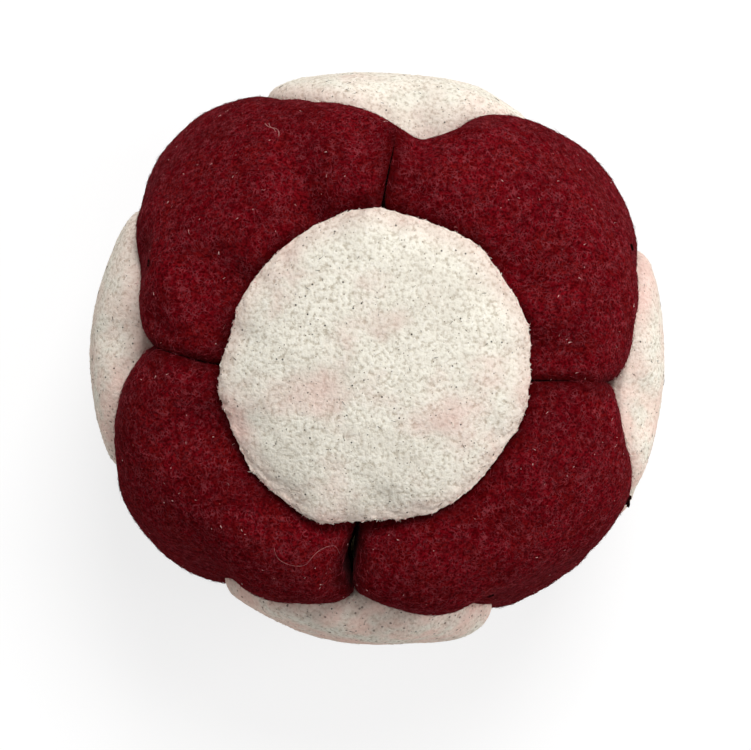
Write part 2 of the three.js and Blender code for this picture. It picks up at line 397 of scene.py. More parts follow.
@dataclass
class Panel:
    """One suede panel, sewn into the bag.

    Lengths are in metres.

    Attributes:
        form: The bag that it is part of.
        sides: The discs that it belongs to, right-handed: its own facing and two neighbours, or its three.
        thickness: The thickness of the suede.
        mouth: Half the slit between two panels.
        allowance: The edge that is turned in below the mouth of a seam.
        arc_steps: Steps of the mesh along a quarter of a disc's seam.
        neck_steps: Steps along a short seam.
        crown_steps: Steps from the middle to the innermost loop that follows the seams.
        pleats: The dents in the bag's panels.
        slot: The material slot of its suede.
        shoulder: The distance from a ring seam at which it has its full height.
        ragged: How far its cut edge is torn in and out.
        insets: Where the loops of the mesh that follow the seams lie.
        inner_shares: Where the loops of the inside face lie, on the way from its middle to its edge.
        bend_drop: How far below the mouth the turned edge bends, and bend_gap how far it has closed there.
        end_gap: The same at its end.
        held_width: From a seam to where the suede is free to swell.
        held_fast: The share above which it is held fast.
        relief_width: From a seam to where its relief has its full height.
        tear_width: From a seam to where the torn edge is most uneven, and tear_end to where it is even again.
    """

    form: BagForm
    sides: tuple[Side, Side, Side]
    thickness: float = 1.0 * MM
    mouth: float = 0.05 * MM
    allowance: float = 2.2 * MM
    arc_steps: int = 16
    neck_steps: int = 8
    crown_steps: int = 11
    pleats: tuple[Pleat, ...] = ()
    slot: str = ""
    shoulder: float = 0.0
    ragged: float = 0.0
    insets: tuple[float, ...] = (3.0 * MM, 2.25 * MM, 1.6 * MM, 1.05 * MM, 0.62 * MM, 0.32 * MM, 0.14 * MM)
    inner_shares: tuple[float, ...] = (0.6, 0.25)
    bend_drop: float = 0.9 * MM
    bend_gap: float = 0.06 * MM
    end_gap: float = 0.07 * MM
    held_width: float = 1.6 * MM
    held_fast: float = 0.75
    relief_width: float = 0.4 * MM
    tear_width: float = 0.1 * MM
    tear_end: float = 1.6 * MM

    @property
    def name(self) -> str:
        """The name of the CAD node that the panel stands for."""
        raise NotImplementedError

    @property
    def middle(self) -> Array:
        """The direction of the panel's middle."""
        raise NotImplementedError

    def outline(self) -> Outline:
        """The seams round the panel."""
        raise NotImplementedError

    def skin_depth(self, directions: Array) -> Array:
        """The depth of the panel's skin below the bag's outer form."""
        raise NotImplementedError

    def pleat_depth(self, directions: Array) -> Array:
        """The depth that the panel's pleats add.

        Args:
            directions: Unit vectors, one to a row.

        Returns:
            The added depth at each direction.
        """
        total = np.zeros(len(directions))
        for pleat in self.pleats:
            if pleat.panel != self.name:
                continue
            start, end = toward(*pleat.start), toward(*pleat.end)
            run = end - start
            along = np.clip((directions - start) @ run / (run @ run), 0, 1)
            off = np.linalg.norm(directions - start - along[:, None] * run, axis=-1) * self.form.half_width
            total += pleat.depth * MM * (1 - along) * np.exp(-((off / (pleat.width * MM)) ** 2))
        return total

    def seam_place(self, axis: Array, first: Array, second: Array, turn: float) -> tuple[Array, Array]:
        """A place on a disc's seam.

        Args:
            axis: The disc's axis.
            first: The direction from which the turn is counted.
            second: The direction that it is counted towards.
            turn: The angle, in radians.

        Returns:
            The direction of the place, and the step from there towards the disc's axis.
        """
        outward = first * math.cos(turn) + second * math.sin(turn)
        level, spread = math.cos(self.form.seam_angle), math.sin(self.form.seam_angle)
        return axis * level + outward * spread, axis * spread - outward * level

    def settled(self, directions: Array, lowered: float) -> Array:
        """Place points of the skin, and rest them on the table.

        Args:
            directions: Unit vectors, one to a row.
            lowered: How far below the skin the points lie, inside the suede.

        Returns:
            The points.
        """
        points = self.form.settle(directions, self.skin_depth(directions) + lowered)
        points[:, 2] = np.maximum(points[:, 2], lowered)
        return points

    def skin_loop(self, outline: Outline, inset: float, lowered: float = 0.0) -> Array:
        """A loop of the skin that follows the seams.

        Args:
            outline: The seams round the panel.
            inset: How far from them it lies.
            lowered: How far below the skin it lies.

        Returns:
            The points of the loop.
        """
        spare = max(0.0, 1 - inset / self.insets[0])
        gape = spare * self.form.gape(outline.directions)
        return self.settled(outline.inset(self.form, inset + gape, 0.0), lowered)

    def crown_loop(self, outline: Outline, share: float, lowered: float = 0.0) -> Array:
        """A loop of the skin at a share of the way from its middle to its innermost inset.

        Args:
            outline: The seams round the panel.
            share: That share. The nearer the middle, the fewer points the loop has.
            lowered: How far below the skin it lies.

        Returns:
            The points of the loop.
        """
        rim = outline.inset(self.form, self.insets[0], 0.0)
        return self.settled(unit(self.middle * (1 - share) + rim * share), lowered)[::coarseness(share)]

    def crown_pole(self, lowered: float = 0.0) -> Array:
        """The middle of the skin, lowered by some thickness."""
        return self.settled(self.middle[None], lowered)

    def turned_loop(self, outline: Outline, inset: float, drop: float) -> Array:
        """A loop of the turned edge, at a drop below the mouth of the seam.

        Args:
            outline: The seams round the panel.
            inset: How far from the seam it lies.
            drop: How far below the mouth.

        Returns:
            The points of the loop.
        """
        depths = self.form.crease_depth(outline.directions) + drop
        inset = inset + self.form.gape(outline.directions) * (1 - drop / self.allowance)
        return self.form.settle(outline.inset(self.form, inset, depths), depths)

    def build(self) -> Piece:
        """Make the panel as a closed mesh: its skin, its turned edge and its inside face.

        Returns:
            The panel, not yet softened.
        """
        outline = self.outline()
        under = self.thickness
        edge = self.mouth + self.thickness
        skin = [self.crown_pole()]
        skin += [self.crown_loop(outline, step / self.crown_steps) for step in range(1, self.crown_steps)]
        # The crown counts as far from every seam.
        gaps = [self.insets[0] * 2] * len(skin) + [*self.insets, self.mouth]
        skin += [self.skin_loop(outline, inset) for inset in (*self.insets, self.mouth)]
        hidden = [
            self.turned_loop(outline, self.mouth + self.bend_gap, self.bend_drop),
            self.turned_loop(outline, self.mouth + self.end_gap, self.allowance),
            self.turned_loop(outline, edge, self.allowance),
            self.skin_loop(outline, edge, under),
            self.skin_loop(outline, self.insets[0], under),
            *(self.crown_loop(outline, share, under) for share in self.inner_shares),
            self.crown_pole(under),
        ]
        piece = mesh_object(self.name + "_suede", np.concatenate(skin + hidden), loop_faces(skin + hidden))
        hidden_count = sum(len(loop) for loop in hidden)
        rim_gaps = np.array([gap for gap, loop in zip(gaps, skin) for _ in loop] + [0.0] * hidden_count)
        outside = np.ones(len(rim_gaps))
        outside[-hidden_count:] = 0
        self.mark(piece, rim_gaps, outside)
        return piece

    def mark(self, piece: Piece, gaps: Array, outside: Array) -> None:
        """Mark a panel for its finish, its cloth pass and its relief.

        Args:
            piece: The panel.
            gaps: The distance of each point from the seams.
            outside: 1 for the points of the skin, and 0 for those of the hidden faces.
        """
        add_attribute(piece, "seam_gap", gaps / MM)
        add_attribute(piece, "outside", outside)
        held = np.clip(1 - gaps / self.held_width, 0, 1)
        held[outside == 0] = 1
        held[held > self.held_fast] = 1
        add_group(piece, "held", held)
        add_group(piece, "skin", outside * np.clip(gaps / self.relief_width, 0, 1))
        near_edge = np.clip(gaps / self.tear_width, 0, 1) * np.clip((self.tear_end - gaps) / MM, 0, 1)
        add_group(piece, "edge", outside * near_edge)


@dataclass
class Disc(Panel):
    """A round panel, whose crown is nearly flat.

    Attributes:
        rim_share: The depth of its rim, as a share of the depth of the seam's mouth.
            Below 1 its edge stands proud.
        fullness: How square its shoulder is, where 2 makes it round.
    """

    slot: str = "cream_suede"
    shoulder: float = 1.0 * MM
    ragged: float = 0.45 * MM
    rim_share: float = 0.42
    fullness: float = 2.0

    @property
    def name(self) -> str:
        """The name of the CAD node that the disc stands for."""
        return f"disc_{self.sides[0].word}"

    @property
    def middle(self) -> Array:
        """The direction of the disc's middle."""
        return self.sides[0].axis

    def outline(self) -> Outline:
        """The ring seam round the disc.

        Returns:
            The outline, which has no corners to keep clear of.
        """
        axis, first, second = (side.axis for side in self.sides)
        turns = [step / self.arc_steps * QUARTER_TURN for step in range(4 * self.arc_steps)]
        places = [self.seam_place(axis, first, second, turn) for turn in turns]
        directions, inwards = (np.array(column) for column in zip(*places))
        return Outline(directions, inwards, np.zeros_like(inwards), np.zeros(len(places)))

    def skin_depth(self, directions: Array) -> Array:
        """The depth of the disc's skin below the bag's outer form.

        Args:
            directions: Unit vectors, one to a row.

        Returns:
            The depth at each direction.
        """
        height = risen(-self.form.disc_distance(directions, self.middle), self.shoulder, self.fullness)
        rim = self.form.crease_depth(directions) * self.rim_share
        return rim * (1 - height) + self.form.room * height + self.pleat_depth(directions)


@dataclass
class Lobe(Panel):
    """A three-armed panel between three discs, which swells out past them.

    Attributes:
        neck_shoulder: The distance from a short seam at which the lobe has its full height.
        fullness: How square its shoulder is beside a ring seam, where 2 makes it round.
        neck_fullness: The same beside a short seam.
        swell: How far it stands out past the discs.
    """

    slot: str = "maroon_suede"
    shoulder: float = 6.0 * MM
    neck_shoulder: float = 4.2 * MM
    fullness: float = 1.65
    neck_fullness: float = 2.1
    swell: float = 1.4 * MM

    @property
    def name(self) -> str:
        """The name of the CAD node that the lobe stands for."""
        order = [Side.TOP, Side.BOTTOM, Side.FRONT, Side.BACK, Side.RIGHT, Side.LEFT]
        return "lobe_" + "_".join(side.word for side in sorted(self.sides, key=order.index))

    @property
    def middle(self) -> Array:
        """The direction of the lobe's middle."""
        return unit(sum(side.axis for side in self.sides))

    def outline(self) -> Outline:
        """The three arcs and three short seams round the lobe.

        Returns:
            The outline, each arc followed by the short seam that it leads to.
        """
        rows = []
        for index in range(3):
            near, after, last = (self.sides[(index + step) % 3].axis for step in range(3))
            for step in range(self.arc_steps + 1):
                share = step / self.arc_steps
                turn = share * QUARTER_TURN
                place, towards_axis = self.seam_place(near, last, after, turn)
                along = after * math.cos(turn) - last * math.sin(turn)
                rows.append((place, -towards_axis, along, 1 - 2 * share))
            for step in range(1, self.neck_steps):
                share = step / self.neck_steps
                angle = self.form.seam_angle + self.form.neck_angle * share
                place = near * math.cos(angle) + after * math.sin(angle)
                along = after * math.cos(angle) - near * math.sin(angle)
                rows.append((place, last, along, 1 - 2 * share))
        return Outline(*(np.array(column) for column in zip(*rows)))

    def skin_depth(self, directions: Array) -> Array:
        """The depth of the lobe's skin below the bag's outer form.

        Args:
            directions: Unit vectors, one to a row.

        Returns:
            The depth at each direction, below zero where the lobe swells past the form.
        """
        height = np.ones(len(directions))
        for side in self.sides:
            from_ring = self.form.disc_distance(directions, side.axis)
            from_neck = self.form.neck_distance(directions, side.axis)
            height *= risen(from_ring, self.shoulder, self.fullness)
            height *= risen(from_neck, self.neck_shoulder, self.neck_fullness)
        crease = self.form.crease_depth(directions)
        return crease * (1 - height) + (self.form.room - self.swell) * height + self.pleat_depth(directions)


# Up to each share of the way out, the points of a panel's outline that one point of a loop stands for.
COARSENESS = ((0.14, 8), (0.32, 4), (0.6, 2), (1.0, 1))


def coarseness(share: float) -> int:
    """How many points of the outline one point of a loop stands for.

    Args:
        share: How far out the loop lies, as a share of the way from the panel's middle.

    Returns:
        8, 4, 2 or 1.
    """
    return next(points for limit, points in COARSENESS if share <= limit)


def loop_faces(loops: list[Array]) -> list[tuple[int, ...]]:
    """The faces that join loops of points, each loop to the next.

    Args:
        loops: The loops, anticlockwise from outside. Neighbours have as many points, or twice as many, and
            the first and the last have one point.

    Returns:
        Faces with three and four sides, which face outwards.
    """
    faces: list[tuple[int, ...]] = []
    start = 0
    for before, after in zip(loops, loops[1:]):
        near, far = len(before), len(after)
        base = start + near
        for step in range(max(near, far) if 1 in (near, far) else min(near, far)):
            here, there = start + step, start + (step + 1) % near
            if near == 1:
                faces.append((start, base + step, base + (step + 1) % far))
            elif far == 1:
                faces.append((here, base, there))
            elif near == far:
                faces.append((here, base + step, base + (step + 1) % far, there))
            elif far > near:
                low, middle, high = (base + (2 * step + index) % far for index in range(3))
                faces += [(here, low, middle), (here, middle, there), (there, middle, high)]
            else:
                low, middle, high = (start + (2 * step + index) % near for index in range(3))
                here, there = base + step, base + (step + 1) % far
                faces += [(here, middle, low), (here, there, middle), (there, high, middle)]
        start = base
    return faces


def mesh_object(name: str, points: Array, faces: list | Array) -> Piece:
    """Make a mesh object at the origin.

    Args:
        name: The object's name.
        points: Its corners, one to a row.
        faces: The corners of each face.

    Returns:
        The object, linked to the scene.
    """
    mesh = bpy.data.meshes.new(name)
    rows = faces.tolist() if isinstance(faces, np.ndarray) else faces
    mesh.from_pydata(points.tolist(), [], rows)
    piece = bpy.data.objects.new(name, mesh)
    bpy.context.collection.objects.link(piece)
    return piece


def add_attribute(piece: Piece, name: str, values: Array) -> None:
    """Store one number for each point of a mesh, for its material to read.

    Args:
        piece: The mesh.
        name: The name that the material reads.
        values: The numbers.
    """
    attribute = piece.data.attributes.new(name, "FLOAT", "POINT")
    attribute.data.foreach_set("value", np.asarray(values, np.float32))


def add_group(piece: Piece, name: str, weights: Array) -> None:
    """Store a vertex group.

    Args:
        piece: The mesh.
        name: The group's name.
        weights: One weight for each point.
    """
    group = piece.vertex_groups.new(name=name)
    for index, weight in enumerate(weights):
        group.add([index], float(weight), "REPLACE")


def read_points(piece: Piece) -> Array:
    """Read the corners of a mesh.

    Args:
        piece: The mesh.

    Returns:
        The corners, one to a row.
    """
    points = np.empty(len(piece.data.vertices) * 3, np.float32)
    piece.data.vertices.foreach_get("co", points)
    return points.reshape(-1, 3).astype(float)


def write_points(piece: Piece, points: Array) -> None:
    """Move the corners of a mesh to new places."""
    piece.data.vertices.foreach_set("co", np.asarray(points, np.float32).ravel())
    piece.data.update()


def apply_modifiers(piece: Piece) -> None:
    """Apply every modifier of a piece, from the first to the last.

    Args:
        piece: The piece.
    """
    bpy.ops.object.select_all(action="DESELECT")
    bpy.context.view_layer.objects.active = piece
    piece.select_set(True)
    for modifier in list(piece.modifiers):
        bpy.ops.object.modifier_apply(modifier=modifier.name)
    piece.select_set(False)


@dataclass(frozen=True)
class Softening:
    """The cloth pass in which sand swells the panels against their seams.

    Attributes:
        enlargement: The bag is simulated this many times larger, where the solver is steadier.
        frames: How many steps it runs.
        pressure: How hard the sand presses.
        ease: The share by which the suede is cut larger than the form, which puckers it at its seams.
        cap: How far a point may move, in metres.
    """

    enlargement: float = 20.0
    frames: int = 14
    pressure: float = 1.6
    ease: float = 0.028
    cap: float = 0.5 * MM

    def run(self, pieces: list[Piece]) -> None:
        """Simulate all the panels side by side and keep the result in their meshes.

        Args:
            pieces: The panels, each with a group named held.
        """
        starts = [read_points(piece) for piece in pieces]
        for piece, start in zip(pieces, starts):
            write_points(piece, start * self.enlargement)
            self.add_cloth(piece)
        for step in range(1, self.frames + 1):
            bpy.context.scene.frame_set(step)
        for piece, start in zip(pieces, starts):
            apply_modifiers(piece)
            moved = read_points(piece) / self.enlargement - start
            length = np.linalg.norm(moved, axis=-1, keepdims=True)
            eased = self.cap * np.tanh(length / self.cap)
            write_points(piece, start + moved / np.maximum(length, TINY) * eased)
        bpy.context.scene.frame_set(1)

    def add_cloth(self, piece: Piece) -> None:
        """Give a panel the cloth modifier of this pass.

        Args:
            piece: The panel, which has a group named held.
        """
        cloth = piece.modifiers.new("Sewn suede", "CLOTH")
        cloth.settings.quality = 6
        cloth.settings.mass = 0.5
        cloth.settings.tension_stiffness = 25
        cloth.settings.compression_stiffness = 25
        cloth.settings.shear_stiffness = 15
        cloth.settings.bending_stiffness = 2.5
        cloth.settings.air_damping = 3
        cloth.settings.vertex_group_mass = "held"
        cloth.settings.shrink_min = -self.ease
        cloth.settings.use_pressure = True
        cloth.settings.uniform_pressure_force = self.pressure
        cloth.settings.effector_weights.gravity = 0


@dataclass(frozen=True)
class Relief:
    """The small unevenness of stuffed suede.

    Attributes:
        lump_size: How far apart the lumps of sand lie under it.
        lump_height: How far they raise it.
        grain_size: How far apart the grains of the suede lie.
        grain_height: How far they stand out.
        tear_size: How far apart the torn fibres of a cut edge lie.
    """

    lump_size: float = 3.2 * MM
    lump_height: float = 0.22 * MM
    grain_size: float = 0.75 * MM
    grain_height: float = 0.05 * MM
    tear_size: float = 0.6 * MM

    def press(self, piece: Piece, ragged: float) -> None:
        """Smooth a panel, raise its lumps and its grain, and rest it on the table.

        Args:
            piece: The panel.
            ragged: How far its cut edge is torn in and out, in metres.
        """
        smooth = piece.modifiers.new("Smooth", "SUBSURF")
        smooth.levels = smooth.render_levels = 2
        layers = [
            ("Lumps", self.lump_size, self.lump_height, "skin"),
            ("Grain", self.grain_size, self.grain_height, "skin"),
        ]
        if ragged:
            layers.append(("Tears", self.tear_size, ragged, "edge"))
        for name, size, height, group in layers:
            texture = bpy.data.textures.new(f"{name} of {piece.name}", "CLOUDS")
            texture.noise_scale = size
            texture.noise_depth = 1
            raised = piece.modifiers.new(name, "DISPLACE")
            raised.texture = texture
            raised.texture_coords = "LOCAL"
            raised.strength = height
            raised.mid_level = 0.5
            raised.vertex_group = group
        apply_modifiers(piece)
        points = read_points(piece)
        points[:, 2] = np.maximum(points[:, 2], 0)
        write_points(piece, points)
        piece.data.shade_smooth()


@dataclass(frozen=True)
class Strands:
    """One kind of loose fibre that lies on a panel, in random places.

    Attributes:
        kind: Its name, with which the names of its pieces start.
        finish: What it is made of.
        density: Fibres to a square millimetre.
        length: The shortest and the longest, in millimetres.
        width: The thinnest and the thickest, in millimetres.
        lift: How far the tips stand off, as a share of the length.
        curl: How far a fibre bends sideways, as a share of its length.
        seed_step: What is added to a panel's seed, so that each kind has draws of its own.
        near_seam: The distances from a seam, in millimetres, between which it lies, if not all over.
        taper: How much thinner a fibre gets towards its tip, as a share of its width.
        perch: How high its middle lies over the suede, as a share of its width.
        segments: How many rings of points it has.
    """

    kind: str
    finish: "Finish"
    density: float
    length: tuple[float, float]
    width: tuple[float, float]
    lift: float
    curl: float
    seed_step: int = 0
    near_seam: tuple[float, float] | None = None
    taper: float = 0.75
    perch: float = 0.3
    segments: int = 3

    def scatter(self, name: str, piece: Piece, seed: int) -> Piece:
        """Scatter fibres over the outside of a panel.

        Args:
            name: The name of the new piece.
            piece: The panel.
            seed: The panel's seed of the random draws.

        Returns:
            One mesh that holds the fibres.
        """
        rng = np.random.default_rng(seed + self.seed_step)
        corners, normals, gaps = outer_triangles(piece)
        if self.near_seam:
            nearest, farthest = self.near_seam
            keep = (gaps < farthest) & (gaps > nearest)
            corners, normals = corners[keep], normals[keep]
        first, second, third = corners[:, 0], corners[:, 1], corners[:, 2]
        areas = np.linalg.norm(np.cross(second - first, third - first), axis=-1) / 2
        count = int(self.density * areas.sum() / MM ** 2)
        chosen = rng.choice(len(areas), count, p=areas / areas.sum())
        mix = rng.random((count, 2))
        mix = np.where(mix.sum(axis=1, keepdims=True) > 1, 1 - mix, mix)
        roots = first[chosen] + (second - first)[chosen] * mix[:, :1] + (third - first)[chosen] * mix[:, 1:]
        up = normals[chosen]
        heading = unit(np.cross(up, rng.normal(size=(count, 3))))
        aside = np.cross(up, heading)
        length = rng.uniform(*(limit * MM for limit in self.length), count)[:, None]
        width = rng.uniform(*(limit * MM for limit in self.width), count)[:, None]
        bend = rng.normal(0, self.curl, (count, 1))
        lift = np.abs(rng.normal(0, self.lift, (count, 1)))
        rings = []
        for step in range(self.segments):
            share = step / self.segments
            centre = roots + heading * length * share + aside * length * bend * share ** 2
            centre = centre + up * (length * lift * share + width * self.perch)
            radius = width / 2 * (1 - self.taper * share)
            for corner in range(3):
                turn = corner / 3 * FULL_TURN
                rings.append(centre + (aside * math.cos(turn) + up * math.sin(turn)) * radius)
        rings.append(roots + heading * length + aside * length * bend + up * length * lift)
        points = np.stack(rings, axis=1)
        points[..., 2] = np.maximum(points[..., 2], 0)
        return mesh_object(name, points.reshape(-1, 3), strand_faces(count, self.segments))


def strand_faces(count: int, segments: int) -> list[list[int]]:
    """The faces of many three-sided fibres, each closed at its root and drawn to a point.

    Args:
        count: The number of fibres.
        segments: The number of rings in each.

    Returns:
        The corners of each face.
    """
    single = [[2, 1, 0]]
    for step in range(segments - 1):
        for corner in range(3):
            after = (corner + 1) % 3
            near, far = step * 3, (step + 1) * 3
            single.append([near + corner, near + after, far + after, far + corner])
    tip = segments * 3
    single += [[tip - 3 + corner, tip - 3 + (corner + 1) % 3, tip] for corner in range(3)]
    size = tip + 1
    return [[index + fibre * size for index in face] for fibre in range(count) for face in single]


def rounded_path(places: Array, rounds: int = 2) -> Array:
    """Round the corners of a path, each time by cutting them a quarter of the way in.

    Args:
        places: The points of the path, one to a row.
        rounds: How many times.

    Returns:
        The points of the rounded path, with the same ends.
    """
    for _ in range(rounds):
        before, after = places[:-1], places[1:]
        cut = np.stack([before * 0.75 + after * 0.25, before * 0.25 + after * 0.75], axis=1)
        places = np.concatenate([places[:1], cut.reshape(-1, places.shape[1]), places[-1:]])
    return places


# A direction that no thread sets out in, from which its sides are counted.
SKEW = (0.31, 0.52, 0.79)


def thread_mesh(name: str, path: Array, radius: float, sides: int = 8) -> Piece:
    """Make a round thread along a path, closed at both ends.

    Args:
        name: The object's name.
        path: The middle of the thread, one point to a row.
        radius: Its radius.
        sides: The number of its sides.

    Returns:
        The thread.
    """
    headings = unit(np.gradient(path, axis=0))
    side = np.cross(headings[0], SKEW)
    rings = []
    for place, heading in zip(path, headings):
        side = unit(side - heading * (side @ heading))
        across = np.cross(side, heading)
        turns = [step / sides * FULL_TURN for step in range(sides)]
        ring = [place + radius * (side * math.cos(turn) + across * math.sin(turn)) for turn in turns]
        rings.append(np.array(ring))
    loops = [path[:1], *rings, path[-1:]]
    thread = mesh_object(name, np.concatenate(loops), loop_faces(loops))
    thread.data.shade_smooth()
    return thread


@dataclass
class Skin:
    """The outside of the finished panels, for what lies on it.

    Attributes:
        tree: The faces of all the panels.
        middle: The middle of the waist.
        beyond: A distance from there that lies outside the bag, in millimetres.
    """

    tree: BVHTree
    middle: Array
    beyond: float = 50.0

    @classmethod
    def of(cls, pieces: list[Piece], middle: Array) -> "Skin":
        """Gather the faces of finished panels.

        Args:
            pieces: The panels.
            middle: The middle of the waist.

        Returns:
            Their skin.
        """
        corners, faces, start = [], [], 0
        for piece in pieces:
            corners += [vertex.co for vertex in piece.data.vertices]
            faces += [[index + start for index in face.vertices] for face in piece.data.polygons]
            start = len(corners)
        return cls(BVHTree.FromPolygons(corners, faces), middle)

    def point(self, direction: Array, lift: float) -> Array:
        """The outermost point of the skin in a direction from the middle of the waist.

        Args:
            direction: That direction.
            lift: How far off the skin the point lies.

        Returns:
            The point.
        """
        start = self.middle + direction * self.beyond * MM
        place, normal, _, _ = self.tree.ray_cast(Vector(start), Vector(-direction))
        return np.array(place) + np.array(normal) * lift

    def path(self, places: tuple[tuple[float, float], ...], lift: float) -> Array:
        """A smooth path on the skin through azimuths and elevations in degrees."""
        directions = unit(rounded_path(np.array([toward(*place) for place in places])))
        return np.array([self.point(direction, lift) for direction in directions])


@dataclass(frozen=True)
class Stray:
    """A bit of thread or a hair that has caught on the bag.

    Attributes:
        places: The azimuth and elevation of the points that it runs through, in degrees.
        width: Its thickness, in millimetres.
        pale: Whether it is a pale fibre, and not a scrap of the dark thread.
        lift: How high its middle lies over the skin, as a share of its radius.
        sides: The number of its sides.
    """

    places: tuple[tuple[float, float], ...]
    width: float
    pale: bool = True
    lift: float = 0.6
    sides: int = 5

    def lay(self, name: str, skin: Skin) -> Piece:
        """Lay it on the skin."""
        radius = self.width / 2 * MM
        return thread_mesh(name, skin.path(self.places, radius * self.lift), radius, self.sides)


@dataclass(frozen=True)
class Sewing:
    """The thread in the seams, the hand stitches that close the last of them, and the knot that ends it.

    Lengths are in metres.

    Attributes:
        form: The bag that is sewn.
        thread: The diameter of the thread, and sides the number of its sides.
        depth: From the mouth of a seam down to its thread.
        sway: How far the thread sways to each side, from stitch to stitch.
        stitch: The length of a stitch.
        neck_ends: Between which shares of a short seam its thread runs.
        closing: Where the closing stitches run round the right disc, in degrees from the top to the front.
        closing_count: Their number.
        closing_slant: How far each leans along the seam, as a share of the distance between them.
        bite: How far from the seam each goes into the suede.
        knot_shift: How far the last stitch draws the knot from its even place, in millimetres.
        knot_points: The number of points along its loops.
        loop_radius: Half the width of the loops.
        long_end: Where the long cut end runs, in degrees from the top to the front.
        long_offset: How far beside the seam it lies, and long_lift how high, in radii of the thread.
        short_end: The points of the short end: outwards and aside of the knot, in millimetres.
        frayed: The thickness of both ends, as a share of the thread's.
    """

    form: BagForm
    thread: float = 0.34 * MM
    sides: int = 6
    depth: float = 0.9 * MM
    sway: float = 0.12 * MM
    stitch: float = 1.8 * MM
    neck_ends: tuple[float, float] = (0.04, 0.96)
    closing: tuple[float, float] = (61.0, 84.0)
    closing_count: int = 7
    closing_slant: float = 0.35
    bite: float = 0.6 * MM
    knot_shift: tuple[float, float, float] = (-0.1, -0.55, -0.45)
    knot_points: int = 60
    loop_radius: float = 0.36 * MM
    long_end: tuple[float, ...] = (59.0, 64.0, 70.0)
    long_offset: float = 0.25 * MM
    long_lift: float = 1.5
    short_end: tuple[tuple[float, float], ...] = ((0.3, 0.2), (0.35, 0.55))
    frayed: float = 0.8

    def seam_thread(self, name: str, places: Array, steps: Array) -> Piece:
        """Make the thread of one seam.

        Args:
            name: The name of the CAD node that it stands for.
            places: Directions along the seam.
            steps: For each, the step across the seam.

        Returns:
            The thread.
        """
        runs = np.linalg.norm(np.diff(places, axis=0), axis=-1).cumsum() * self.form.half_width
        phase = np.concatenate([[0], runs]) / self.stitch * math.pi
        across = steps * (np.sin(phase) * self.sway / self.form.half_width)[:, None]
        directions = unit(places + across)
        path = self.form.settle(directions, self.form.crease_depth(directions) + self.depth)
        return thread_mesh(name + "_sewn", path, self.thread / 2, self.sides)

    def ring(self, side: Side, count: int = 120) -> Piece:
        """Make the thread round a disc.

        Args:
            side: The side that the disc faces.
            count: The number of points along it.

        Returns:
            The thread.
        """
        axis = side.axis
        first, second = (other.axis for other in Side if other.axis @ axis == 0 and sum(other.value) > 0)
        turns = np.linspace(0, FULL_TURN, count + 1)[:, None]
        outward = first * np.cos(turns) + second * np.sin(turns)
        level, spread = math.cos(self.form.seam_angle), math.sin(self.form.seam_angle)
        places = axis * level + outward * spread
        return self.seam_thread(f"disc_thread_{side.word}", places, outward)

    def neck(self, near: Side, after: Side, count: int = 24) -> Piece:
        """Make the thread of the short seam between two discs.

        Args:
            near: The side that one disc faces.
            after: The side that the other faces.
            count: The number of points along it.

        Returns:
            The thread.
        """
        shares = np.linspace(*self.neck_ends, count + 1)[:, None]
        angles = self.form.seam_angle + self.form.neck_angle * shares
        places = near.axis * np.cos(angles) + after.axis * np.sin(angles)
        across = np.repeat(np.cross(near.axis, after.axis)[None], count + 1, axis=0)
        return self.seam_thread(f"neck_thread_{near.word}_{after.word}", places, across)

    def ring_direction(self, turn: float, offset: float) -> Array:
        """The direction of a place beside the right disc's seam, from the middle of the waist.

        Args:
            turn: Degrees from the top of the disc round towards the front.
            offset: The distance from the seam, growing away from the disc.

        Returns:
            The direction.
        """
        angle = self.form.seam_angle + offset / self.form.half_width
        turn = math.radians(turn)
        outward = np.array([0, -math.sin(turn), math.cos(turn)])
        direction = Side.RIGHT.axis * math.cos(angle) + outward * math.sin(angle)
        place = self.form.settle(direction[None], 0.0)[0]
        return unit(place - [0, 0, self.form.waist])

    def closing_stitches(self, skin: Skin) -> Piece:
        """Make the whip stitches that run from the knot to the next seam.

        Args:
            skin: The outside of the panels.

        Returns:
            The stitches, as one piece.
        """
        radius = self.thread / 2
        start, end = self.closing
        lean = (end - start) / self.closing_count * self.closing_slant
        stitches = []
        for step in range(self.closing_count):
            turn = start + (end - start) * step / (self.closing_count - 1)
            inner = skin.point(self.ring_direction(turn - lean, -self.bite), 0)
            outer = skin.point(self.ring_direction(turn + lean, self.bite), 0)
            outward = unit((inner + outer) / 2 - skin.middle)
            sunk = outward * radius * 2
            top = (inner + outer) / 2 + outward * radius
            path = rounded_path(np.array([inner - sunk, inner, top, outer, outer - sunk]), 2)
            stitches.append(thread_mesh(f"stitch_{step}", path, radius, self.sides))
        return join_pieces("closing_stitches", stitches)

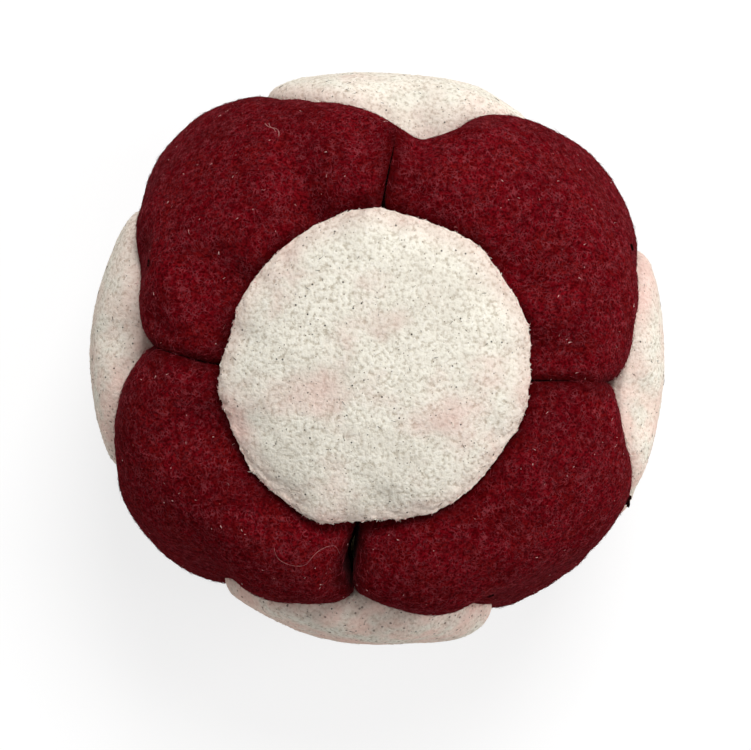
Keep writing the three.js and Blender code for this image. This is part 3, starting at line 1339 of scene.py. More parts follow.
    def knot(self, skin: Skin) -> Piece:
        """Make the knot and its two cut ends.

        Args:
            skin: The outside of the panels.

        Returns:
            The knot, a trefoil with the ends coming out of its middle.
        """
        low, high = (np.array(corner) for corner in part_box("closing_knot"))
        middle = (low + high) / 2 + np.array(self.knot_shift) * MM
        outward = unit(middle - skin.middle)
        middle = middle + outward * self.thread
        side = unit(np.cross(outward, [0, 0, 1]))
        up = np.cross(outward, side)
        radius = self.thread / 2
        loops = []
        for step in range(self.knot_points):
            turn = (step + 0.5) / self.knot_points * FULL_TURN
            sideways = (math.sin(turn) + 2 * math.sin(2 * turn)) * side
            upward = (math.cos(turn) - 2 * math.cos(2 * turn)) * up
            loops.append(middle + (sideways + upward - outward * math.sin(3 * turn)) * self.loop_radius / 3)
        parts = [thread_mesh("knot_loops", np.array(loops), radius)]
        route = [self.ring_direction(turn, self.long_offset) for turn in self.long_end]
        long_end = [skin.point(direction, radius * self.long_lift) for direction in route]
        short_end = [middle + (outward * out + side * aside) * MM for out, aside in self.short_end]
        for name, end in (("long", long_end), ("short", short_end)):
            path = rounded_path(np.array([middle, *end]))
            parts.append(thread_mesh(f"knot_end_{name}", path, radius * self.frayed))
        return join_pieces("closing_knot_tied", parts)


@dataclass(frozen=True)
class SandFill:
    """The sand that fills the bag.

    Attributes:
        clearance: The distance between it and the suede, in metres.
        slope: How steeply it rises beside the turned edges of a seam.
    """

    clearance: float = 0.4 * MM
    slope: float = 1.5

    def build(self, form: BagForm, panels: list[Panel]) -> Piece:
        """Make the sand, a little inside the panels and below their turned edges.

        Args:
            form: The bag that it fills.
            panels: The panels.

        Returns:
            The sand.
        """
        bpy.ops.object.select_all(action="DESELECT")
        bpy.ops.mesh.primitive_ico_sphere_add(subdivisions=6, radius=1.0)
        fill = bpy.context.object
        fill.name = fill.data.name = "sand_inside"
        directions = unit(read_points(fill))
        rings = np.array([form.disc_distance(directions, side.axis) for side in Side])
        necks = np.array([form.neck_distance(directions, side.axis) for side in Side])
        # The short seams count only outside the discs, and on a disc they are as good as a metre away.
        from_necks = np.where(rings.min(axis=0) > 0, np.abs(necks).min(axis=0), 1.0)
        gaps = np.minimum(np.abs(rings).min(axis=0), from_necks)
        dents = [panel.pleat_depth(directions) for panel in panels]
        skins = [panel.skin_depth(directions) - dent for panel, dent in zip(panels, dents)]
        skin = np.min(skins, axis=0) + np.sum(dents, axis=0)
        thickness, allowance = panels[0].thickness, panels[0].allowance
        edges = form.crease_depth(directions) + allowance + self.clearance
        beside = np.maximum(gaps - thickness - self.clearance, 0) * self.slope
        depths = np.maximum(skin + thickness + self.clearance, edges - beside)
        points = form.settle(directions, depths)
        points[:, 2] = np.maximum(points[:, 2], thickness + self.clearance)
        write_points(fill, points)
        fill.data.shade_smooth()
        return fill


def join_pieces(name: str, parts: list[Piece]) -> Piece:
    """Join parts into one piece.

    Args:
        name: The name of the piece.
        parts: The parts, each with its own mesh.

    Returns:
        The piece.
    """
    bpy.ops.object.select_all(action="DESELECT")
    for part in parts:
        part.select_set(True)
    bpy.context.view_layer.objects.active = parts[0]
    bpy.ops.object.join()
    parts[0].name = parts[0].data.name = name
    parts[0].select_set(False)
    return parts[0]


# The level of the attribute outside from which a point belongs to a panel's outer face.
OUTER_LEVEL = 0.98


def outer_triangles(piece: Piece) -> tuple[Array, Array, Array]:
    """The triangles on the outside of a panel.

    Args:
        piece: A panel with the attributes seam_gap and outside.

    Returns:
        Their corners, their normals, and their distances from the seams in millimetres.
    """
    mesh = piece.data
    mesh.calc_loop_triangles()
    index = np.empty(len(mesh.loop_triangles) * 3, np.int32)
    mesh.loop_triangles.foreach_get("vertices", index)
    index = index.reshape(-1, 3)
    outside = np.empty(len(mesh.vertices), np.float32)
    mesh.attributes["outside"].data.foreach_get("value", outside)
    gaps = np.empty(len(mesh.vertices), np.float32)
    mesh.attributes["seam_gap"].data.foreach_get("value", gaps)
    index = index[outside[index].min(axis=1) > OUTER_LEVEL]
    corners = read_points(piece)[index]
    normals = unit(np.cross(corners[:, 1] - corners[:, 0], corners[:, 2] - corners[:, 0]))
    return corners, normals, gaps[index].mean(axis=1)


def feed(tree: Tree, target: Socket, source: Source) -> None:
    """Give an input its value, or link it.

    Args:
        tree: The node tree.
        target: The input.
        source: A value, an output, or a node whose first output it takes.
    """
    if isinstance(source, Node):
        source = next(output for output in source.outputs if output.enabled)
    if isinstance(source, Socket):
        tree.links.new(source, target)
    else:
        target.default_value = source


def add_node(
    tree: Tree,
    kind: str,
    settings: dict[str, str] | None = None,
    inputs: dict[str | int, Source] | None = None,
) -> Node:
    """Add a node with its settings, values and links.

    Args:
        tree: The tree that gets the node.
        kind: The node's type, without ShaderNode.
        settings: Values of its properties.
        inputs: For each input, by name or number, what feed() takes.

    Returns:
        The new node.
    """
    node = tree.nodes.new("ShaderNode" + kind)
    for key, value in (settings or {}).items():
        setattr(node, key, value)
    for key, value in (inputs or {}).items():
        feed(tree, node.inputs[key], value)
    return node


def seen_directly(tree: Tree) -> Node:
    """Tell what the camera sees from what lights the bag.

    Args:
        tree: The node tree.

    Returns:
        1 for what the camera sees, also in a reflection or through glass, and 0 for the rest.
    """
    path = add_node(tree, "LightPath").outputs
    seen = path["Is Camera Ray"]
    for other in ("Is Glossy Ray", "Is Transmission Ray"):
        seen = add_node(tree, "Math", {"operation": "MAXIMUM"}, {0: seen, 1: path[other]})
    return seen


@dataclass(frozen=True)
class Cloud:
    """A noise that shows in part: not at all below one level, and fully above another.

    Attributes:
        size: The size of its blobs, in millimetres.
        low: The level at which it starts to show.
        high: The level at which it shows fully.
        most: The share that it then has.
        detail: How many finer noises are laid over it.
        stretch: How far its blobs are drawn out along X, Y and Z.
        turn: How it is turned about X, Y and Z, in radians.
    """

    size: float
    low: float
    high: float
    most: float = 1.0
    detail: float = 2.0
    stretch: tuple[float, float, float] = (1.0, 1.0, 1.0)
    turn: tuple[float, float, float] = (0.0, 0.0, 0.0)

    def spread(self, tree: Tree, place: Socket) -> tuple[Node, Node]:
        """Spread the noise over a piece.

        Args:
            tree: The node tree.
            place: The coordinates.

        Returns:
            The bare noise, around 0.5, and the share by which it shows.
        """
        mapping = {0: place, "Scale": self.stretch, "Rotation": self.turn}
        mapped = add_node(tree, "Mapping", {"vector_type": "TEXTURE"}, mapping)
        inputs = {"Vector": mapped, "Scale": 1 / (self.size * MM), "Detail": self.detail}
        noise = add_node(tree, "TexNoise", {}, inputs)
        levels = {"Value": noise, "From Min": self.low, "From Max": self.high, "To Max": self.most}
        return noise, add_node(tree, "MapRange", SMOOTH, levels)

    def share(self, tree: Tree, place: Socket) -> Node:
        """Spread the noise, for the share by which it shows alone."""
        return self.spread(tree, place)[1]


@dataclass(frozen=True)
class Specks:
    """Grains of dirt strewn over a finish.

    Attributes:
        spacing: From one place for a grain to the next, in millimetres.
        radius: The radius of a grain, in millimetres.
        bare: The share of those places that stay bare.
        color: The colour of the grains.
        soft: How far a grain fades out round its radius, as a share of it.
        step: Over how much of its chance a place goes from bare to full.
    """

    spacing: float
    radius: float
    bare: float
    color: str
    soft: float = 0.3
    step: float = 0.02

    def strew(self, tree: Tree, place: Socket, color: Source, most: Source) -> Node:
        """Lay the grains over a colour.

        Args:
            tree: The node tree.
            place: The coordinates.
            color: The colour under them.
            most: How strongly they show, from 0 to 1.

        Returns:
            The colour with its grains.
        """
        cells = add_node(tree, "TexVoronoi", {}, {"Vector": place, "Scale": 1 / (self.spacing * MM)})
        edge = self.radius / self.spacing
        dots = add_node(tree, "MapRange", SMOOTH, {
            "Value": cells.outputs["Distance"],
            "From Min": edge * (1 - self.soft),
            "From Max": edge * (1 + self.soft),
            "To Min": most,
            "To Max": 0.0,
        })
        kept = add_node(tree, "MapRange", SMOOTH, {
            "Value": cells.outputs["Color"],
            "From Min": self.bare,
            "From Max": self.bare + self.step,
        })
        grains = add_node(tree, "Math", PRODUCT, {0: dots, 1: kept})
        return add_node(tree, "Mix", BLEND, {SHARE: grains, UNDER: color, OVER: linear_color(self.color)})


@dataclass(frozen=True)
class Finish:
    """A finish, named for the real material.

    Attributes:
        name: The material's name.
        roughness: The roughness of its surface.
        gloss: Its specular level, where 0 is a nap that swallows every reflection.
    """

    name: str
    roughness: float
    gloss: float = field(default=0.0, kw_only=True)

    def build(self) -> Material:
        """Make the material."""
        raise NotImplementedError

    def start(self) -> tuple[Material, Tree, Node, Socket]:
        """Make an empty material.

        Returns:
            The material, its node tree, its shader and its object coordinates.
        """
        material = bpy.data.materials.new(self.name)
        material.use_nodes = True
        tree = material.node_tree
        shader = tree.nodes["Principled BSDF"]
        shader.inputs["Roughness"].default_value = self.roughness
        shader.inputs["Specular IOR Level"].default_value = self.gloss
        return material, tree, shader, add_node(tree, "TexCoord").outputs["Object"]

    def beside_seams(self, tree: Tree, near: float, far: float, most: float) -> Node:
        """Add a share that fades away from the seams.

        Args:
            tree: The node tree.
            near: The distance up to which it is full, in millimetres.
            far: The distance at which it is gone, in millimetres.
            most: The full share.

        Returns:
            The share.
        """
        gap = add_node(tree, "Attribute", {"attribute_name": "seam_gap"}).outputs["Fac"]
        inputs = {"Value": gap, "From Min": near, "From Max": far, "To Min": most, "To Max": 0.0}
        return add_node(tree, "MapRange", SMOOTH, inputs)

    def emboss(
        self, tree: Tree, shader: Node, layers: tuple[tuple[Source, float], ...], strength: float = 1.0
    ) -> None:
        """Give the surface its fine relief.

        Args:
            tree: The node tree.
            shader: The shader that gets it.
            layers: The pattern of each layer and its height in millimetres, the coarsest first.
            strength: How strongly it shows, from 0 to 1.
        """
        under: dict[str | int, Source] = {}
        for pattern, height in layers:
            inputs = {"Height": pattern, "Distance": height * MM, "Strength": strength, **under}
            under = {"Normal": add_node(tree, "Bump", {}, inputs)}
        feed(tree, shader.inputs["Normal"], under["Normal"])


@dataclass(frozen=True)
class CreamSuede(Finish):
    """Split hide dyed cream, whose flesh side is brushed up into crumbs.

    The crumbs catch the light, and the hollows between them are painted a darker grey, as painted shade. Dye
    from the maroon panels has bled into it in soft pink patches, most of all along the seams, and black grit
    is caught in it. Below the shoulder of the bag, and most at the front, it is pinker in soft patches and
    soiled.

    Attributes:
        crumb: The colour of the crumbs, and hollow the painted shade of the hollows between them.
        tip: The colour of the brushed tips of the fibres.
        dull: The colour that wear gives it, and worn the pinker one below the shoulder.
        stain: The colour of the dye that has bled into it.
        crumbs: The crumbs, and tips the finer ends of fibre on them.
        wear: The patches that have gone dull.
        bleeding: The patches of dye.
        smudges: The pinker patches below the shoulder.
        crumb_height: How high the crumbs stand, in millimetres, and tip_height the tips.
        relief: How strongly that relief shows.
        specks: Black grit, then grey grit, all over.
        soil: The earth below the shoulder.
        lower: The levels, in millimetres, between which the pinker patches and the soil start and are full.
        lower_share: The share that it then has.
        front: Between which Y, in millimetres, they grow towards the front.
        front_least: The share that it has at the back.
        rim: The distances from a seam, in millimetres, between which the stain there fades, and its share.
    """

    name: str = "brushed cream split suede"
    roughness: float = 1.0
    crumb: str = "#efeadc"
    # The hollows between the crumbs are painted this darker grey, as painted shade.
    hollow: str = "#bcb2a0"
    tip: str = "#fbf7ee"
    dull: str = "#c6bdaf"
    stain: str = "#dfa9a1"
    worn: str = "#f3c9bb"
    crumbs: Cloud = Cloud(0.36, 0.26, 0.58, detail=4)
    tips: Cloud = Cloud(0.22, 0.5, 0.75, 0.6, detail=1, stretch=(1.6, 1.0, 1.0), turn=(0.4, 1.2, 0.9))
    wear: tuple[Cloud, ...] = (Cloud(1.6, 0.44, 0.7, 0.22), Cloud(5.0, 0.45, 0.68, 0.25))
    bleeding: Cloud = Cloud(6.5, 0.5, 0.74, 0.4, detail=4)
    smudges: Cloud = Cloud(2.2, 0.3, 0.7, 0.85)
    crumb_height: float = 0.16
    tip_height: float = 0.05
    relief: float = 0.8
    specks: tuple[Specks, ...] = (Specks(0.8, 0.075, 0.5, "#1d1917"), Specks(0.45, 0.055, 0.45, "#75695c"))
    soil: Specks = Specks(0.55, 0.11, 0.6, "#6b5a50")
    lower: tuple[float, float] = (35.5, 31.0)
    lower_share: float = 0.8
    front: tuple[float, float] = (14.0, -16.0)
    front_least: float = 0.2
    rim: tuple[float, float, float] = (0.1, 2.8, 0.26)

    def build(self) -> Material:
        """Make the material.

        Returns:
            The material.
        """
        material, tree, shader, place = self.start()
        crumbs, crumbled = self.crumbs.spread(tree, place)
        tips, tipped = self.tips.spread(tree, place)
        lower_front, soiled = self.handling(tree, place)
        # The pinker patches, below the shoulder and most at the front.
        rubbed = add_node(tree, "Math", PRODUCT, {0: lower_front, 1: self.smudges.share(tree, place)})
        # The base is the painted shade of the hollows, and the crumbs are laid over it.
        color: Source = linear_color(self.hollow)
        for share, paint in (
            (crumbled, self.crumb),
            (tipped, self.tip),
            *((cloud.share(tree, place), self.dull) for cloud in self.wear),
            (self.bleeding.share(tree, place), self.stain),
            (rubbed, self.worn),
            (self.beside_seams(tree, *self.rim), self.stain),
        ):
            color = add_node(tree, "Mix", BLEND, {SHARE: share, UNDER: color, OVER: linear_color(paint)})
        for specks, most in (*((specks, 1.0) for specks in self.specks), (self.soil, soiled)):
            color = specks.strew(tree, place, color, most)
        feed(tree, shader.inputs["Base Color"], color)
        self.emboss(tree, shader, ((crumbs, self.crumb_height), (tips, self.tip_height)), self.relief)
        return material

    def handling(self, tree: Tree, place: Socket) -> tuple[Node, Node]:
        """Add the shares by which the suede is pinker and soiled, below the shoulder and most at the front.

        Args:
            tree: The node tree.
            place: The coordinates.

        Returns:
            How far each place is pinker, and how far it is soiled.
        """
        spot = add_node(tree, "SeparateXYZ", {}, {0: place}).outputs
        lower = add_node(tree, "MapRange", SMOOTH, {
            "Value": spot["Z"],
            "From Min": self.lower[0] * MM,
            "From Max": self.lower[1] * MM,
            "To Max": self.lower_share,
        })
        front = add_node(tree, "MapRange", SMOOTH, {
            "Value": spot["Y"],
            "From Min": self.front[0] * MM,
            "From Max": self.front[1] * MM,
            "To Min": self.front_least,
        })
        lower_front = add_node(tree, "Math", PRODUCT, {0: lower, 1: front})
        return lower_front, add_node(tree, "Math", PRODUCT, {0: lower_front, 1: front})


@dataclass(frozen=True)
class MaroonSuede(Finish):
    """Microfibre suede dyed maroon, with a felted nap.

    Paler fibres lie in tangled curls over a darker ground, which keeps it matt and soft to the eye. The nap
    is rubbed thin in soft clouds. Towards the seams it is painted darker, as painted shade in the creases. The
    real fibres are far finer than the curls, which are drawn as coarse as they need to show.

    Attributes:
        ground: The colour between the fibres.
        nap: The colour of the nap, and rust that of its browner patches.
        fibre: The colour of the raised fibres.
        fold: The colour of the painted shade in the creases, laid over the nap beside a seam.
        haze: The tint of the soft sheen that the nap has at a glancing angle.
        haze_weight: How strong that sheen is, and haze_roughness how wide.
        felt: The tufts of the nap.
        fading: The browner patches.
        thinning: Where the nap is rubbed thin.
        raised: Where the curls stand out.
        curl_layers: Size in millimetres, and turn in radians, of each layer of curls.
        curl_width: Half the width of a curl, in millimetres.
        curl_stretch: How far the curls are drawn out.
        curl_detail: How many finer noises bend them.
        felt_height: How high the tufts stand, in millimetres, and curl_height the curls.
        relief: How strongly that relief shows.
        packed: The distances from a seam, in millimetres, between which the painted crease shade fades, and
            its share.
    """

    name: str = "felted maroon microfibre suede"
    roughness: float = 1.0
    ground: str = "#3f0105"
    nap: str = "#7a0e18"
    rust: str = "#6f1711"
    fibre: str = "#9e4850"
    # A painted shade, darkest in the creases right beside the seams.
    fold: str = "#330203"
    haze: str = "#caa2a6"
    haze_weight: float = 0.045
    haze_roughness: float = 0.35
    felt: Cloud = Cloud(0.24, 0.3, 0.7, detail=3)
    fading: Cloud = Cloud(2.2, 0.4, 0.62, 0.45, detail=3)
    thinning: tuple[Cloud, ...] = (
        Cloud(1.3, 0.3, 0.75, 0.22, detail=3),
        Cloud(5.0, 0.3, 0.75, 0.45, detail=3),
    )
    raised: Cloud = Cloud(0.7, 0.35, 0.7, 0.45, detail=3)
    curl_layers: tuple[tuple[float, tuple[float, float, float]], ...] = (
        (0.6, (0.2, 0.9, 0.4)),
        (0.5, (1.3, 0.1, 2.1)),
        (0.4, (0.7, 2.2, 1.2)),
    )
    curl_width: float = 0.018
    curl_stretch: float = 1.7
    curl_detail: float = 1.0
    felt_height: float = 0.12
    curl_height: float = 0.05
    relief: float = 0.7
    packed: tuple[float, float, float] = (0.05, 1.5, 0.65)

    def curls(self, tree: Tree, place: Socket, size: float, turn: tuple[float, float, float]) -> Node:
        """Add a layer of tangled lines, where a noise crosses its middle value.

        Args:
            tree: The node tree.
            place: The coordinates.
            size: How far apart the lines are, in millimetres.
            turn: How the pattern is turned, in radians.

        Returns:
            1 along the lines and 0 between them.
        """
        mapping = {0: place, "Scale": (self.curl_stretch, 1.0, 1.0), "Rotation": turn}
        mapped = add_node(tree, "Mapping", {"vector_type": "TEXTURE"}, mapping)
        inputs = {"Vector": mapped, "Scale": 1 / (size * MM), "Detail": self.curl_detail}
        noise = add_node(tree, "TexNoise", {}, inputs)
        off = add_node(tree, "Math", {"operation": "SUBTRACT"}, {0: noise, 1: 0.5})
        off = add_node(tree, "Math", {"operation": "ABSOLUTE"}, {0: off})
        inputs = {"Value": off, "From Max": self.curl_width / size, "To Min": 1.0, "To Max": 0.0}
        return add_node(tree, "MapRange", SMOOTH, inputs)

    def build(self) -> Material:
        """Make the material.

        Returns:
            The material.
        """
        material, tree, shader, place = self.start()
        felt, tufts = self.felt.spread(tree, place)
        dyed = add_node(tree, "Mix", BLEND, {
            SHARE: self.fading.share(tree, place),
            UNDER: linear_color(self.nap),
            OVER: linear_color(self.rust),
        })
        color = add_node(tree, "Mix", BLEND, {SHARE: tufts, UNDER: linear_color(self.ground), OVER: dyed})
        tangle, *others = (self.curls(tree, place, size, turn) for size, turn in self.curl_layers)
        for other in others:
            tangle = add_node(tree, "Math", {"operation": "MAXIMUM"}, {0: tangle, 1: other})
        pale = add_node(tree, "Math", PRODUCT, {0: tangle, 1: self.raised.share(tree, place)})
        for share, paint in (
            *((cloud.share(tree, place), self.ground) for cloud in self.thinning),
            (pale, self.fibre),
            # The painted shade of the creases, darkest at the seams and gone 1.5 mm from them.
            (self.beside_seams(tree, *self.packed), self.fold),
        ):
            color = add_node(tree, "Mix", BLEND, {SHARE: share, UNDER: color, OVER: linear_color(paint)})
        feed(tree, shader.inputs["Base Color"], color)
        shader.inputs["Sheen Weight"].default_value = self.haze_weight
        shader.inputs["Sheen Roughness"].default_value = self.haze_roughness
        shader.inputs["Sheen Tint"].default_value = linear_color(self.haze)
        self.emboss(tree, shader, ((felt, self.felt_height), (pale, self.curl_height)), self.relief)
        return material


@dataclass(frozen=True)
class SpunFibre(Finish):
    """Loose textile fibre or thread, whose dye is a little uneven, so that no two fibres look quite the same.

    Attributes:
        color: Its colour.
        uneven: The colour that it has in places.
        dye: Those places.
    """

    name: str = "loose fibre"
    roughness: float = 0.7
    color: str = "#7a1d28"
    uneven: str = "#55121b"
    dye: Cloud = Cloud(0.8, 0.4, 0.6, detail=1)

    def build(self) -> Material:
        """Make the material.

        Returns:
            The material.
        """
        material, tree, shader, place = self.start()
        color = add_node(tree, "Mix", BLEND, {
            SHARE: self.dye.share(tree, place),
            UNDER: linear_color(self.color),
            OVER: linear_color(self.uneven),
        })
        feed(tree, shader.inputs["Base Color"], color)
        return material


@dataclass(frozen=True)
class DrySand(Finish):
    """Washed quartz sand: grains in mixed tans, dull and rough to the eye.

    Attributes:
        pale: The colour of the palest grains, and dark that of the darkest.
        grain: The size of a grain, in millimetres.
        grain_height: How high the grains stand out of the fill, in millimetres.
    """

    name: str = "dry quartz sand"
    roughness: float = 0.9
    pale: str = "#d9c7a0"
    dark: str = "#8e7448"
    grain: float = 0.5
    grain_height: float = 0.2

    def build(self) -> Material:
        """Make the material.

        Returns:
            The material.
        """
        material, tree, shader, place = self.start()
        grains = add_node(tree, "TexVoronoi", {}, {"Vector": place, "Scale": 1 / (self.grain * MM)}).outputs
        color = add_node(tree, "Mix", BLEND, {
            SHARE: grains["Color"], UNDER: linear_color(self.pale), OVER: linear_color(self.dark)
        })
        feed(tree, shader.inputs["Base Color"], color)
        self.emboss(tree, shader, ((grains["Distance"], self.grain_height),))
        return material


@dataclass(frozen=True)
class PaleTable(Finish):
    """The plain table top, white to the camera and still holding the bag's shadow.

    Attributes:
        color: Its colour as the bag sees it.
        shown: Its colour as the camera sees it.
        glow: What the camera sees on top of that, so that the table is white and its shadow faint.
    """

    name: str = "plain white table"
    roughness: float = 1.0
    color: str = "#f4f4f4"
    shown: str = "#9a9a9a"
    glow: float = 0.74

    def build(self) -> Material:
        """Make the material.

        Returns:
            The material.
        """
        material, tree, shader, _ = self.start()
        seen = seen_directly(tree)
        color = add_node(tree, "Mix", BLEND, {
            SHARE: seen, UNDER: linear_color(self.color), OVER: linear_color(self.shown)
        })
        feed(tree, shader.inputs["Base Color"], color)
        lit = add_node(tree, "Math", PRODUCT, {0: seen, 1: self.glow})
        shader.inputs["Emission Color"].default_value = linear_color("#ffffff")
        feed(tree, shader.inputs["Emission Strength"], lit)
        return material


@dataclass(frozen=True)
class Lamp:
    """A square lamp.

    Attributes:
        name: Its name.
        place: Where it hangs, in metres.
        size: Its width, in metres.
        power: Its power, in watts.
    """

    name: str
    place: tuple[float, float, float]
    size: float
    power: float


@dataclass(frozen=True)
class Studio:
    """The table, the lamps and the camera.

    Lengths are in metres and angles in degrees.

    Attributes:
        distance: From the camera to the middle of the waist.
        focal: The focal length, in millimetres.
        sensor: The width of the sensor, in millimetres.
        nearest: The nearest thing that the camera shows.
        tilt: How far the camera leans from straight above, towards the back disc.
        roll: How far the bag is turned clockwise in the picture.
        aim: The point that the camera looks at.
        fill: The strength of the even light from all round.
        lamps: A large key lamp beyond the back, and a low one to the right.
        table_width: The width of the table top.
        table_gap: How far it lies below the bag.
    """

    aim: tuple[float, float, float]
    fill: float = 0.385
    distance: float = 0.232
    focal: float = 121.9
    tilt: float = 2.0
    roll: float = 5.0
    sensor: float = 36.0
    nearest: float = 0.01
    lamps: tuple[Lamp, ...] = (
        Lamp("key_lamp", (0.06, 0.36, 0.48), 0.25, 2.25),
        Lamp("side_lamp", (0.53, 0.07, 0.27), 0.3, 1.2),
    )
    table_width: float = 3.0
    table_gap: float = 0.02 * MM

    def place_camera(self) -> None:
        """Add the camera above the bag."""
        tilt, roll = math.radians(self.tilt), math.radians(self.roll)
        back = Vector((0, math.sin(tilt), math.cos(tilt)))
        upright = Vector((-math.sin(roll), math.cos(roll), 0))
        right = upright.cross(back).normalized()
        upright = back.cross(right)
        bpy.ops.object.camera_add(location=Vector(self.aim) + back * self.distance)
        camera = bpy.context.object
        camera.name = "photo_camera"
        camera.data.lens = self.focal
        camera.data.sensor_width = self.sensor
        camera.data.clip_start = self.nearest
        camera.rotation_mode = "QUATERNION"
        camera.rotation_quaternion = Matrix((right, upright, back)).transposed().to_quaternion()
        bpy.context.scene.camera = camera

    def place_lamps(self) -> None:
        """Add the lamps and an even fill, which is white where the camera sees it."""
        for lamp in self.lamps:
            bpy.ops.object.light_add(type="AREA", location=lamp.place)
            added = bpy.context.object
            added.name = lamp.name
            added.data.size = lamp.size
            added.data.energy = lamp.power
            toward_bag = Vector(self.aim) - Vector(lamp.place)
            added.rotation_euler = toward_bag.to_track_quat("-Z", "Y").to_euler()
        world = bpy.data.worlds.new("soft fill")
        world.use_nodes = True
        tree = world.node_tree
        sky = tree.nodes["Background"]
        sky.inputs["Color"].default_value = linear_color("#ffffff")
        strength = add_node(tree, "MapRange", SMOOTH, {"Value": seen_directly(tree), "To Min": self.fill})
        feed(tree, sky.inputs["Strength"], strength)
        bpy.context.scene.world = world

    def place_table(self, finish: Finish) -> None:
        """Add the table top that the bag lies on.

        Args:
            finish: Its finish.
        """
        bpy.ops.object.select_all(action="DESELECT")
        bpy.ops.mesh.primitive_plane_add(size=self.table_width, location=(0, 0, -self.table_gap))
        table = bpy.context.object
        table.name = "table"
        table.data.materials.append(finish.build())


# The fibres on a maroon lobe: its own nap, and pale lint rubbed off the discs.
MAROON_FIBRES = (
    Strands(
        "nap", SpunFibre("maroon nap fibre", 0.9, "#822c33", "#5c1017"),
        density=6.0, length=(0.3, 0.9), width=(0.025, 0.045), lift=0.12, curl=0.4,
    ),
    Strands(
        "lint", SpunFibre("pale lint", 0.9, "#e0b4ae", "#9c5654"),
        density=0.09, length=(0.08, 0.3), width=(0.05, 0.1), lift=0.1, curl=0.6, seed_step=50,
    ),
)

# The fibres on a cream disc: its own nap, the torn fibres at its rim, and dark hairs that have caught in it.
CREAM_FIBRES = (
    Strands(
        "nap", SpunFibre("cream nap fibre", 0.9, "#f4eee1", "#d8cdbc"),
        density=2.0, length=(0.15, 0.4), width=(0.03, 0.05), lift=0.12, curl=0.3,
    ),
    Strands(
        "rim", SpunFibre("cream edge fibre", 0.9, "#f3ece0", "#e3b9b3"), near_seam=(0.1, 0.4),
        density=12.0, length=(0.12, 0.34), width=(0.05, 0.1), lift=0.25, curl=0.4, seed_step=50,
    ),
    Strands(
        "hairs", SpunFibre("dark hair", 0.8, "#231d1b", "#40332d"),
        density=0.1, length=(0.12, 0.6), width=(0.04, 0.07), lift=0.03, curl=0.4, seed_step=90,
    ),
)


